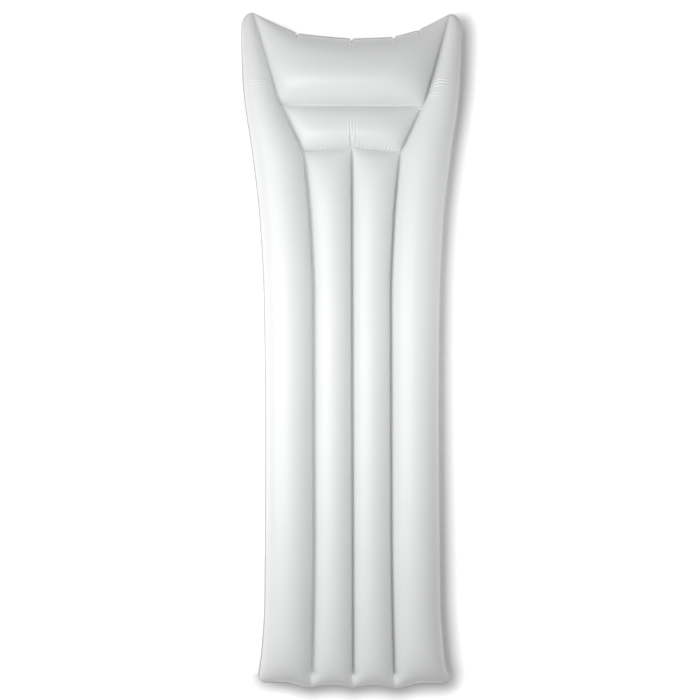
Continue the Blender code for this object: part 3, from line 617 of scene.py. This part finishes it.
def film():
    """(points of the upper film's outer face, its weld plane's height, where it is welded and how much
    painted shade its welds get), each as a grid of rows from the foot and columns from the left."""
    rows = plan_rows()
    plan, weld_and_shade = plan_grid(rows), welded(rows)
    height = swell(plan, weld_and_shade)
    zones, places = (np.array(column) for column in zip(*rows))
    start, end = PLAIN_TUBES
    plain = (zones == "body") & (places > start) & (places < end)
    tube_top = height[plain].max(axis=1).mean()
    pillow_top = height[zones == "pillow"].max()
    wide = outline_rim(plan)
    lifted = np.zeros(wide.shape[:2])
    lifted[1:-1, 1:-1] = height
    weld_shade = np.pad(weld_and_shade, 1, mode="edge")
    x, along = wide[..., 0], wide[..., 1]
    lifted *= seam_slopes(x, along)
    rise_start, rise_end = NECK_AT - PILLOW_RISE_BEFORE, PILLOW_AT + PILLOW_RISE_AFTER
    rise = ease((along - rise_start) / (rise_end - rise_start))
    plane = between(tube_top, pillow_top, rise) - FLOOR_FLAT
    return np.stack([x, along - HALF_LENGTH, lifted], -1), plane, weld_shade


def slope_share(distance, slope):
    """Share of the full height at a distance from a crosswise seam."""
    low = 1.0 - np.sqrt(distance / (distance + slope))
    return 1.0 - low * np.exp(-distance / (SLOPE_FADE * slope))


def neck_seam_at(x):
    """How far from the foot edge the bowed neck seam is."""
    return NECK_AT + NECK_ARCH * (1.0 - np.abs(x) / SEAM_NECK_HALF).clip(0.0) ** NECK_ARCH_POWER


def seam_slopes(x, along):
    """Shares of the height that keep the crosswise seams' valleys open, as in the photograph, and
    run the creases between the tubes on from the ends of their seams to the foot edge."""
    neck_seam = neck_seam_at(x)
    slope = np.where(along < neck_seam, TUBE_END_SLOPE, NECK_END_SLOPE)
    share = slope_share(np.abs(along - neck_seam), slope)
    share *= slope_share((np.abs(along - PILLOW_AT) - PILLOW_LAND / 2).clip(0.0), PILLOW_END_SLOPE)
    up_pillow = ((along - PILLOW_AT) / (PILLOW_LENGTH - HEAD_EDGE_DIP)).clip(0.0, 1.3)
    share *= np.where(along > PILLOW_AT, PILLOW_FULLEST - PILLOW_LEAN * up_pillow, 1.0)
    down_neck = ((PILLOW_AT - along) / NECK_LENGTH).clip(0.0, 1.0)
    in_neck = (along < PILLOW_AT) & (along > neck_seam)
    share *= np.where(in_neck, 1.0 + NECK_LEAN * (down_neck - NECK_EVEN), 1.0)
    share = np.where(np.abs(x) < seam_half(along), share, 1.0)
    depth = between(*CREASE_DEPTH, ease(along / FOOT_PASSAGE))
    start, length = CREASE_FADE
    depth *= 1.0 - ease((along - FOOT_PASSAGE + start) / length)
    for seam_x in (-SEAM_FOOT_HALF, 0.0, SEAM_FOOT_HALF):
        crease = sum(part * hump((x - seam_x) / width) for part, width in CREASE_SHAPE)
        share = share * (1.0 - depth * crease)
    return share


def normals(points):
    """The outward directions of a grid of points on the upper film."""
    along, across = np.gradient(points, axis=0), np.gradient(points, axis=1)
    out = np.cross(across, along)
    return out / np.maximum(np.linalg.norm(out, axis=-1, keepdims=True), TINY)


def ridges(phase, sharpness=1.0):
    """Parallel soft ridges, one to each whole number of the phase, about level on average."""
    wave = (0.5 + 0.5 * np.cos(2.0 * math.pi * phase)) ** sharpness
    return wave - 0.5**sharpness


def pleats(x, up):
    """The bundle over the end of the middle seam, whose pleats run together into one crease."""
    out = PLEAT_HEIGHT * ridges(x / PLEAT_SPACING + 0.05) * hump(x / PLEAT_SPREAD)
    out *= window(up, *PLEAT_WINDOW)
    by_the_weld = MM * window(up, *CREASE_WINDOW)
    for middle, width, height in CREASE_LINES:
        out += height * by_the_weld * hump((x / MM - middle) / width)
    return out


def fan(x, up):
    """The uneven small gathers all along the neck seam, which open out away from it."""
    spread = x / (1.0 + FAN_OPENS * up.clip(0.0))
    strength = window(np.abs(spread) - FAN_FROM_MIDDLE, *FAN_ACROSS)
    (uneven, length), (wander, stretch) = FAN_UNEVEN, FAN_WANDER
    strength *= 1.0 - uneven + uneven * np.sin(spread / length + 1.0)
    phase = spread / FAN_SPACING + wander * np.sin(spread / stretch)
    return FAN_HEIGHT * ridges(phase) * strength * window(up, *FAN_WINDOW) * (up > 0)


def wrinkles(x, y):
    """The bowed wrinkles on the side tubes beside the pillow, from the seam outwards."""
    out = np.zeros_like(x)
    seam = seam_half(y + HALF_LENGTH)
    for side, middle, half, reach, spacing, height, outer_bow in WRINKLES:
        off = side * x - seam
        inner = (WRINKLE_BOW + outer_bow) * ((WRINKLE_CREST - off) / WRINKLE_CREST) ** 2
        outer = outer_bow * ((off - WRINKLE_CREST) / WRINKLE_OUT) ** 2
        level = y + np.where(off < WRINKLE_CREST, inner, outer) - middle
        strength = window(off, WRINKLE_RISE, 0.45 * reach, 0.55 * reach)
        strength *= 1.0 - ease((np.abs(level) - 0.75 * half) / (0.5 * half))
        out += height * MM * ridges(level / spacing, WRINKLE_SHARPNESS) * strength
    return out


def puckers(x, y):
    """A pucker on the right ear, and one at each long seam's end near the foot."""
    off_x, off_y = x - EAR_PUCKER_AT[0], y - EAR_PUCKER_AT[1]
    across, along = EAR_PUCKER_SIZE
    near = hump(off_x / across) * hump(off_y / along)
    out = EAR_PUCKER_HEIGHT * ridges((y - EAR_PUCKER_LEAN * off_x) / EAR_PUCKER_SPACING) * near
    off_y = y + HALF_LENGTH - FOOT_PASSAGE + WELD_END_BACK
    across, along = WELD_END_SIZE
    for seam_x in (-SEAM_FOOT_HALF, 0.0, SEAM_FOOT_HALF):
        near = hump((x - seam_x) / across) * hump(off_y / along)
        out += WELD_END_HEIGHT * ridges((x - seam_x) / WELD_END_SPACING) * near
    return out


def folds(x, y):
    """How far the folds lift the film out of its smooth swell, at places on the mattress."""
    up = y + HALF_LENGTH - neck_seam_at(x)
    return pleats(x, up) + fan(x, up) + wrinkles(x, y) + puckers(x, y)


def gathers(x, y, edge):
    """(outward lift, draw towards the foot) of the folds gathered into the head edge's weld."""
    lift, draw = np.zeros_like(x), np.zeros_like(x)
    down = (edge - y).clip(0.0)
    for place, _, lean, size in HEAD_GATHERS:
        off = x - place - lean * down
        fade = window(down, GATHER_RISE, 0.0, GATHER_LENGTH * size + GATHER_TAIL)
        shape = ridges(off / GATHER_SPACING + 0.5) * hump(off / GATHER_SPREAD)
        lift += GATHER_HEIGHT * size * shape * fade
        draw += GATHER_DRAW * size * hump(off / NOTCH_WIDTH) * (1.0 - ease(down / NOTCH_LENGTH))
    return lift, draw


def creased(top):
    """The smooth film with its folds, its askew welds and the left foot corner drawn in."""
    x, y, height = top[..., 0], top[..., 1], top[..., 2]
    edge = y[-2][None, :] + 0.0 * y
    (start, length), (clear, fade) = GATHER_ZONE, EAR_TIP_CLEAR
    pillow = ease((y - start) / length) * ease((EAR_TIP_HALF - clear - np.abs(x)) / fade)
    lift, draw = gathers(x, y, edge)
    free = ease(height / FREE_HEIGHT)
    bent = top + normals(top) * ((folds(x, y) + lift * pillow) * free)[..., None]
    bent[..., 1] -= draw * pillow + SKEW * bent[..., 0]
    start, length = LEFT_CORNER_ZONE
    corner = ease((start - x) / length) * ease(1.0 - (y + HALF_LENGTH) / LEFT_CORNER_LENGTH)
    bent[..., 0] += LEFT_CORNER_IN * corner
    return bent


def srgb(code):
    """A hex colour as linear red, green, blue and alpha."""
    parts = [int(code[k : k + 2], 16) / 255.0 for k in (1, 3, 5)]
    linear = [c / 12.92 if c <= 0.04045 else ((c + 0.055) / 1.055) ** 2.4 for c in parts]
    return (*linear, 1.0)


def add(tree, kind, links=None, **settings):
    """Adds a node with its settings, and sets its inputs or links them from other sockets."""
    made = tree.nodes.new(kind)
    for name, value in settings.items():
        setattr(made, name, value)
    for name, value in (links or {}).items():
        if isinstance(value, bpy.types.NodeSocket):
            tree.links.new(value, made.inputs[name])
        else:
            made.inputs[name].default_value = value
    return made


def new_material(name, links=None):
    """A material by its finish's name: (material, its node tree, its Principled shader)."""
    made = bpy.data.materials.new(name)
    made.use_nodes = True
    shader = made.node_tree.nodes["Principled BSDF"]
    for socket, value in (links or {}).items():
        shader.inputs[socket].default_value = value
    return made, made.node_tree, shader


def calendered_film():
    """White PVC film off the rollers, blown tight: an even satin face with soft broad reflections,
    a fine grain that only dulls its sheen, pressed ribs along its welds, and painted shade greying
    them."""
    made, tree, shader = new_material("calendered_white_pvc_film", {"IOR": PVC_IOR})
    where = add(tree, "ShaderNodeTexCoord").outputs["Object"]
    links = {"Vector": where, "Scale": CLOUDS_PER_METRE, "Detail": 2.0}
    cloud = add(tree, "ShaderNodeTexNoise", links)
    tint = add(tree, "ShaderNodeMix", {"Factor": cloud.outputs["Fac"]}, data_type="RGBA")
    tint.inputs["A"].default_value = srgb(FILM_WHITE)
    tint.inputs["B"].default_value = srgb(FILM_CLOUD)
    # Painted shade: the welds are greyed towards the painted seam shade, as much as their attribute
    # says.
    weld_and_shade = add(tree, "ShaderNodeAttribute", attribute_name="weld_and_shade")
    seam_shaded = add(tree, "ShaderNodeMix", {"Factor": weld_and_shade.outputs["Fac"]}, data_type="RGBA")
    tree.links.new(tint.outputs["Result"], seam_shaded.inputs["A"])
    seam_shaded.inputs["B"].default_value = srgb(PAINTED_SEAM_SHADE)
    tree.links.new(seam_shaded.outputs["Result"], shader.inputs["Base Color"])
    links = {"Vector": where, "Scale": GRAINS_PER_METRE, "Detail": 1.0}
    grain = add(tree, "ShaderNodeTexNoise", links).outputs["Fac"]
    low, high = FILM_ROUGHNESS
    rough = add(tree, "ShaderNodeMapRange", {"Value": grain, "To Min": low, "To Max": high})
    tree.links.new(rough.outputs["Result"], shader.inputs["Roughness"])
    # The welding tool presses fine ribs into the welds.
    links = {"Vector": where, "Scale": RIB_SCALE}
    rib = add(tree, "ShaderNodeTexWave", links, bands_direction="DIAGONAL").outputs["Fac"]
    ribs = add(tree, "ShaderNodeMath", {0: rib, 1: weld_and_shade.outputs["Fac"]}, operation="MULTIPLY")
    links = {0: grain, 1: GRAIN_SHARE, 2: ribs.outputs[0]}
    both = add(tree, "ShaderNodeMath", links, operation="MULTIPLY_ADD")
    links = {"Height": both.outputs[0], "Strength": 0.25, "Distance": RIB_HEIGHT}
    bump = add(tree, "ShaderNodeBump", links)
    tree.links.new(bump.outputs["Normal"], shader.inputs["Normal"])
    return made


def moulded_pvc(name, colour, clear):
    """Plasticised PVC from a polished mould: softly glossy, a little light passing through it."""
    settings = {"Base Color": srgb(colour), "Roughness": 0.28, "IOR": PVC_IOR}
    settings |= {"Transmission Weight": clear, "Subsurface Weight": 0.15}
    settings |= {"Subsurface Radius": (1.0, 1.0, 0.95), "Subsurface Scale": 3.0 * MM}
    made, tree, shader = new_material(name, settings)
    where = add(tree, "ShaderNodeTexCoord").outputs["Object"]
    links = {"Vector": where, "Scale": MOULD_WAVES_PER_METRE, "Detail": 2.0}
    uneven = add(tree, "ShaderNodeTexNoise", links)
    links = {"Height": uneven.outputs["Fac"], "Strength": 0.1, "Distance": MOULD_WAVE_HEIGHT}
    bump = add(tree, "ShaderNodeBump", links)
    tree.links.new(bump.outputs["Normal"], shader.inputs["Normal"])
    return made


def as_mesh(name, bm):
    """Turns a bmesh into a mesh."""
    mesh = bpy.data.meshes.new(name)
    bm.to_mesh(mesh)
    bm.free()
    return mesh


def add_object(name, data):
    """A new object in the scene from its data."""
    made = bpy.data.objects.new(name, data)
    bpy.context.scene.collection.objects.link(made)
    return made


def add_piece(name, bm, finish, solid, body, part):
    """Turns a bmesh into a piece that takes the place of a solid, and moves with a body if given."""
    mesh = as_mesh(name, bm)
    mesh.shade_smooth()
    if part != "film":
        mesh.set_sharp_from_angle(angle=math.radians(40.0))
    mesh.materials.append(finish)
    made = add_object(name, mesh)
    if body:
        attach(made, body)
    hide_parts(solid)
    return made


def film_mesh(top, plane, weld_shade, side):
    """One film's outer face, with its welds and their painted shade marked for the material: side is 1
    for the upper one and -1 for the lower one."""
    rows, columns = plane.shape
    bm = bmesh.new()
    bmesh.ops.create_grid(bm, x_segments=columns - 1, y_segments=rows - 1, size=0.5)
    offset = WELD_GAP / 2 + FILM
    weld_and_shade = bm.verts.layers.float.new("weld_and_shade")
    for vertex in bm.verts:
        i = round((vertex.co.x + 0.5) * (columns - 1))
        j = round((vertex.co.y + 0.5) * (rows - 1))
        x, y, lift = top[j, i]
        vertex.co = (x, y, max(plane[j, i] + side * (lift + offset), 0.0))
        vertex[weld_and_shade] = weld_shade[j, i]
    if side < 0:
        bmesh.ops.reverse_faces(bm, faces=bm.faces)
    return bm


def seat_valve(bm, seat, weld_z):
    """Lays the lower film flat round a valve, as the stiff flange holds it, and opens its hole."""
    inverse = seat.inverted()
    for vertex in bm.verts:
        local = inverse @ vertex.co
        if abs(local.z) > SEAT_EDGE or local.xy.length > SEAT_EDGE:
            continue
        lay = 1.0 - ease((local.xy.length - SEAT_FLAT) / SEAT_BLEND)
        lay *= ease((weld_z - vertex.co.z) / SEAT_DROP)
        local.z *= 1.0 - float(lay)
        vertex.co = seat @ local
        vertex.co.z = max(vertex.co.z, 0.0)

    def near_hole():
        """The flat film's vertices round the hole, each with its place in the valve's frame."""
        for vertex in bm.verts:
            local = inverse @ vertex.co
            if abs(local.z) < 2.0 * MM and local.xy.length < 2.0 * HOLE_RADIUS:
                yield vertex, local

    inside = [vertex for vertex, at in near_hole() if at.xy.length < HOLE_RADIUS - HOLE_TRIM]
    bmesh.ops.delete(bm, geom=inside, context="VERTS")
    for vertex, at in near_hole():
        if vertex.is_boundary:
            at.xy *= HOLE_RADIUS / at.xy.length
            vertex.co = seat @ at


def film_piece(name, bm, finish, solid):
    """A film as a piece of the mattress, with its thickness."""
    for edge in bm.edges:
        edge.smooth = not edge.is_boundary
    made = add_piece(name, bm, finish, solid, "mattress", "film")
    thick = made.modifiers.new("film thickness", "SOLIDIFY")
    thick.thickness = FILM
    thick.offset = -1.0


def turned(profile, seat, closed=True):
    """A piece turned about a valve's axis, from (radius, height) points."""
    bm = bmesh.new()
    verts = [bm.verts.new((radius, 0.0, z)) for radius, z in profile]
    after = verts[1:] + verts[:1] if closed else verts[1:]
    edges = [bm.edges.new(pair) for pair in zip(verts, after)]
    turn = {"cent": (0, 0, 0), "axis": (0, 0, 1), "angle": 2 * math.pi, "use_merge": True}
    bmesh.ops.spin(bm, geom=verts + edges, steps=ROUND_STEPS, **turn)
    bmesh.ops.remove_doubles(bm, verts=bm.verts, dist=1e-6)
    bmesh.ops.recalc_face_normals(bm, faces=bm.faces)
    bmesh.ops.transform(bm, matrix=seat, verts=bm.verts)
    return bm


def eased(profile, radius, steps=3, closed=True):
    """A profile with its corners rounded off."""
    points = [Vector(point) for point in profile]
    out = []
    for k, point in enumerate(points):
        if not closed and k in (0, len(points) - 1):
            out.append(tuple(point))
            continue
        before, after = points[k - 1], points[(k + 1) % len(points)]
        cut = min(radius, 0.45 * (before - point).length, 0.45 * (after - point).length)
        start = point + (before - point).normalized() * cut
        end = point + (after - point).normalized() * cut
        for step in range(steps + 1):
            t = step / steps
            out.append(tuple(start * (1 - t) ** 2 + point * 2 * t * (1 - t) + end * t * t))
    return out


def plate(outline, direction, seat, edge=0.0):
    """A flat outline pushed out along a direction, with softened edges."""
    bm = bmesh.new()
    face = bm.faces.new([bm.verts.new(point) for point in outline])
    moved = bmesh.ops.extrude_face_region(bm, geom=[face])["geom"]
    tops = [item for item in moved if isinstance(item, bmesh.types.BMVert)]
    bmesh.ops.translate(bm, verts=tops, vec=direction)
    bmesh.ops.recalc_face_normals(bm, faces=bm.faces)
    if edge:
        rims = [e for e in bm.edges if len(e.link_faces) == 2 and e.calc_face_angle() > 1.0]
        rounding = {"segments": 2, "profile": 0.5, "affect": "EDGES", "material": -1}
        bmesh.ops.bevel(bm, geom=rims, offset=edge, **rounding)
    bmesh.ops.transform(bm, matrix=seat, verts=bm.verts)
    return bm


def flange_profile():
    """A ring inside the film, with a lip that stands out through the film's hole."""
    top = -FILM - SEAT_GAP
    under = top - FLANGE_THICK
    outer = LIP_RADIUS + LIP_THICK
    rim = outer + FLANGE_WIDTH
    profile = [(LIP_RADIUS, under), (rim, under), (rim, top), (outer, top)]
    return profile + [(outer, LIP_RISE), (LIP_RADIUS, LIP_RISE)]


def web_profile():
    """The web's cone, bowed a little as soft PVC bends between the lip and the stem."""
    wide, narrow = LIP_RADIUS - SEAT_GAP, STEM_RADIUS + SEAT_GAP
    outer, inner = [], []
    for k in range(WEB_STEPS + 1):
        t = k / WEB_STEPS
        z = -SEAT_GAP - WEB_DEPTH * t
        bow = WEB_BOW * math.sin(math.pi * t)
        outer.append((between(wide, narrow + WEB_THICK, t) + bow, z))
        inner.append((between(wide - WEB_THICK, narrow, t) + bow, z))
    return outer + inner[::-1]


def stem_profile():
    """A tube with a collar round its mouth and a lip round its inner end."""
    top, foot = -STEM_SINK, -STEM_SINK - STEM_LENGTH
    under, ring = top - COLLAR_THICK, STEM_RADIUS + FOOT_LIP
    profile = [(BORE_RADIUS + MOUTH_CHAMFER, top), (COLLAR_RADIUS, top), (COLLAR_RADIUS, under)]
    profile += [(STEM_RADIUS, under), (STEM_RADIUS, foot + FOOT_THICK)]
    profile += [(ring, foot + FOOT_THICK), (ring, foot), (BORE_RADIUS, foot)]
    return profile + [(BORE_RADIUS, top - MOUTH_CHAMFER)]


def flap_outline():
    """A disc on the stem's inner end, with the tab that it swings on."""
    top = -STEM_SINK - STEM_LENGTH - SEAT_GAP
    half = FLAP_TAB_WIDTH / 2
    gap = math.asin(half / FLAP_RADIUS)
    reach = FLAP_RADIUS + FLAP_TAB_REACH
    outline = [(-reach, half, top), (-reach, -half, top)]
    for k in range(ROUND_STEPS + 1):
        angle = between(gap - math.pi, math.pi - gap, k / ROUND_STEPS)
        outline.append((FLAP_RADIUS * math.cos(angle), FLAP_RADIUS * math.sin(angle), top))
    return outline


def half_turn(start):
    """(cosine, sine) of each step over half a turn, from an angle."""
    angles = (start + math.pi * k / BEND_STEPS for k in range(BEND_STEPS + 1))
    return [(math.cos(angle), math.sin(angle)) for angle in angles]


def plug_mesh(seat):
    """The stopper: a body in the bore, a dished head on the mouth and a ribbed tab to pull it by."""
    under = -STEM_SINK + SEAT_GAP
    top = under + HEAD_THICK
    body = BORE_RADIUS - PLUG_CLEARANCE
    tip = under - PLUG_LENGTH
    profile = [(0.0, tip), (body - PLUG_TAPER, tip), (body, tip + PLUG_TAPER), (body, under)]
    dish_rim, dish_floor = (HEAD_RADIUS * share for share in DISH_SHARES)
    profile += [(HEAD_RADIUS, under), (HEAD_RADIUS, top), (dish_rim, top)]
    profile += [(dish_floor, top - DISH_DEPTH), (0.0, top - DISH_DEPTH)]
    bm = turned(eased(profile, HEAD_BEVEL, closed=False), seat, closed=False)
    half = PULL_TAB_WIDTH / 2
    low = top - HEAD_BEVEL / 2 - PULL_TAB_THICK
    inner, outer = -HEAD_RADIUS * 0.8, -HEAD_RADIUS - PULL_TAB_REACH
    outline = [(inner, -half, low), (inner, half, low)]
    turn = half_turn(math.pi / 2)
    outline += [(outer + half + half * cosine, half * sine, low) for cosine, sine in turn]
    parts = [plate(outline, (0.0, 0.0, PULL_TAB_THICK), seat, TAB_EDGE)]
    side, level = half * 0.6, low + PULL_TAB_THICK - GRIP_SINK
    for k in range(GRIP_RIBS):
        at = outer + GRIP_START + GRIP_STEP * k
        rib = [(at, -side, level), (at + GRIP_WIDTH, -side, level)]
        rib += [(x, -y, z) for x, y, z in rib[::-1]]
        parts.append(plate(rib, (0.0, 0.0, GRIP_RISE), seat))
    for part in parts:
        mesh = as_mesh("tab", part)
        bm.from_mesh(mesh)
        bpy.data.meshes.remove(mesh)
    return bm


def tether_outline():
    """The strap's side view, from the stem's collar out over the film and back to the plug."""
    root = COLLAR_RADIUS + SEAT_GAP + TETHER_THICK / 2
    low = TETHER_CLEAR + TETHER_THICK / 2
    high = low + TETHER_TURN
    middle = [(root, -STEM_SINK - COLLAR_THICK), (root, low - TETHER_THICK)]
    middle += [(root + TETHER_THICK * 0.4, low - TETHER_THICK * 0.3), (root + TETHER_THICK * 1.2, low)]
    bend = TETHER_TURN / 2
    bend_x = COLLAR_RADIUS + TETHER_REACH - bend
    for cosine, sine in half_turn(-math.pi / 2):
        middle.append((bend_x + bend * cosine, low + bend + bend * sine))
    middle.append((HEAD_RADIUS + SEAT_GAP, high))
    middle = [Vector(point) for point in middle]
    left, right = [], []
    for before, point, after in zip(middle[:1] + middle, middle, middle[1:] + middle[-1:]):
        way = (after - before).normalized()
        aside = Vector((-way.y, way.x)) * TETHER_THICK / 2
        left.append(point + aside)
        right.append(point - aside)
    return [(p.x, -TETHER_WIDTH / 2, p.y) for p in left + right[::-1]]


def valve(name, seat, clear, white):
    """A valve's pieces in its seat, pushed in and plugged."""
    stem, plug, flap = name + "_stem", name + "_plug", name + "_flap"

    def piece(part, bm, finish, body, slot):
        return add_piece(name + "_" + part, bm, finish, name + "_valve_" + part, body, slot)

    piece("flange", turned(eased(flange_profile(), FLANGE_EDGE), seat), clear, "mattress", "valve")
    web = piece("web", turned(web_profile(), seat), clear, None, "valve")
    piece("stem", turned(eased(stem_profile(), STEM_EDGE), seat), clear, stem, "valve")
    piece("flap", plate(flap_outline(), (0.0, 0.0, -FLAP_THICK), seat), white, flap, "plug")
    piece("plug", plug_mesh(seat), white, plug, "plug")
    strap = plate(tether_outline(), (0.0, TETHER_WIDTH, 0.0), seat, TETHER_EDGE)
    tether = piece("tether", strap, white, None, "plug")
    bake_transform(web)
    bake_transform(tether)


def valve_seat(origin, axis):
    """A valve's matrix: local +Z out of the film, local +X along the mattress's width."""
    axis, across = Vector(axis).normalized(), Vector((1.0, 0.0, 0.0))
    turn = Matrix((across, axis.cross(across), axis)).transposed()
    return Matrix.Translation(origin) @ turn.to_4x4()


def seen_as_background(tree):
    """1 for the rays that see the background: from the camera, off gloss and through clear film."""
    path = add(tree, "ShaderNodeLightPath").outputs
    seen = path["Is Camera Ray"]
    for kind in ("Is Glossy Ray", "Is Transmission Ray"):
        seen = add(tree, "ShaderNodeMath", {0: seen, 1: path[kind]}, operation="MAXIMUM").outputs[0]
    return seen


def floor_glow(points, outline):
    """How much painted glow whitens the floor's points for the camera: less on the mattress's shaded
    side, where it leaves the real shadow showing, most away from it, and not at all under it."""
    along = np.roll(outline, -GATHERS_PASSED, 0) - np.roll(outline, GATHERS_PASSED, 0)
    facing = np.stack([along[:, 1], -along[:, 0]], 1)
    facing /= np.linalg.norm(facing, axis=1)[:, None]
    (pillow_from, length), (under, fade) = PILLOW_GLOW, GLOW_UNDER
    lit = np.zeros(len(points))
    for k, point in enumerate(points):
        gaps = point - outline
        nearest = (gaps * gaps).sum(1).argmin()
        gap = gaps[nearest]
        away = math.copysign(math.hypot(*gap), gap @ facing[nearest])
        shaded = float(ease(0.5 + 0.8 * facing[nearest] @ SHADE_WAY))
        near = between(*GLOW_NEAR, float(ease((point[1] - pillow_from) / length)))
        foot_side = max(0.0, -facing[nearest][1]) ** 2
        clear = GLOW_RISE * max(0.0, away - SHADE_REACH * shaded)
        lit[k] = min(between(near, GLOW_FOOT * foot_side, shaded) + clear, GLOW_MOST)
        lit[k] *= 1.0 - float(ease((-away - under) / fade))
    return lit


def white_floor(outline):
    """A white sweep with a painted glow: the camera sees it pure white away from the mattress, about
    as it is lit close beside its shaded side and under it, where the shadow lies, and lightened
    elsewhere."""
    bm = bmesh.new()
    bmesh.ops.create_grid(bm, x_segments=FLOOR_CUTS[0], y_segments=FLOOR_CUTS[1], size=1.0)
    for vertex in bm.verts:
        for axis in (0, 1):
            at = vertex.co[axis]
            run = math.copysign(FLOOR_RUN, at) if abs(at) > 0.999 else 0.0
            vertex.co[axis] = at * FLOOR_HALF[axis] + run
    mesh = as_mesh("floor", bm)
    floor = add_object("floor", mesh)
    points = np.array([vertex.co[:2] for vertex in mesh.vertices])
    # painted glow for each floor point, which the material adds for the camera
    marks = mesh.attributes.new("painted_floor_glow", "FLOAT", "POINT")
    marks.data.foreach_set("value", floor_glow(points, outline))
    settings = {"Base Color": srgb(FLOOR_WHITE), "Roughness": 1.0, "Specular IOR Level": 0.0}
    made, tree, shader = new_material("matt_white_paper_sweep", settings)
    painted_floor_glow = add(tree, "ShaderNodeAttribute", attribute_name="painted_floor_glow").outputs["Fac"]
    links = {0: painted_floor_glow, 1: seen_as_background(tree)}
    glow = add(tree, "ShaderNodeMath", links, operation="MULTIPLY")
    tree.links.new(glow.outputs[0], shader.inputs["Emission Strength"])
    shader.inputs["Emission Color"].default_value = (1.0, 1.0, 1.0, 1.0)
    mesh.materials.append(made)


def soft_light(name, place, power, across, along):
    """A softbox aimed at the middle of the mattress, by its sizes across and along the mattress."""
    box = bpy.data.lights.new(name, "AREA")
    box.shape = "RECTANGLE"
    box.size, box.size_y = across, along
    box.energy = power
    lamp = add_object(name, box)
    lamp.location = place
    lamp.rotation_euler = (-lamp.location).to_track_quat("-Z", "Y").to_euler()


def studio(outline):
    """The white floor, a big softbox on the left with weak ones overhead, low on the right and past
    the head, and the camera straight above."""
    scene = bpy.context.scene
    scene.view_settings.view_transform = "Standard"
    white_floor(outline)
    world = bpy.data.worlds.new("studio")
    scene.world = world
    world.use_nodes = True
    sky = world.node_tree.nodes["Background"]
    sky.inputs["Color"].default_value = (1.0, 1.0, 1.0, 1.0)
    links = {"Value": seen_as_background(world.node_tree), "To Min": WORLD_LIGHT, "To Max": 1.0}
    strength = add(world.node_tree, "ShaderNodeMapRange", links)
    world.node_tree.links.new(strength.outputs["Result"], sky.inputs["Strength"])
    for softbox in SOFTBOXES:
        soft_light(*softbox)
    lens = bpy.data.cameras.new("camera")
    lens.sensor_width = SENSOR_WIDTH
    lens.lens = SENSOR_WIDTH * (CAMERA_HEIGHT - FOCUS_HEIGHT) / (PHOTO_PIXELS * PIXEL)
    lens.clip_end = 50.0
    eye = add_object("camera", lens)
    off_x, off_y = CAMERA_OFF
    eye.location = (off_x * PIXEL, off_y * PIXEL, CAMERA_HEIGHT)
    eye.rotation_euler = (0.0, 0.0, math.radians(CAMERA_TURN))
    scene.camera = eye


def main():
    top, plane, weld_shade = film()
    top = creased(top)
    foot, right, head, left = top[0, :-1], top[:-1, -1], top[-1, :0:-1], top[:0:-1, 0]
    outline = np.concatenate([foot, right, head, left])[:, :2]
    finish = calendered_film()
    clear = moulded_pvc("moulded_clear_soft_pvc", CLEAR_PVC, CLEARNESS)
    white = moulded_pvc("moulded_white_soft_pvc", WHITE_PVC, 0.0)
    film_piece("upper_film", film_mesh(top, plane, weld_shade, 1), finish, "top_sheet")
    lower = film_mesh(top, plane, weld_shade, -1)
    seats = {name: valve_seat(*place) for name, place in VALVE_SEATS.items()}
    for name, row in (("body", 0), ("pillow", -1)):
        seat_valve(lower, seats[name], float(plane[row, 0]))
    film_piece("lower_film", lower, finish, "bottom_sheet")
    for name, seat in seats.items():
        valve(name, seat, clear, white)
    studio(outline)


main()
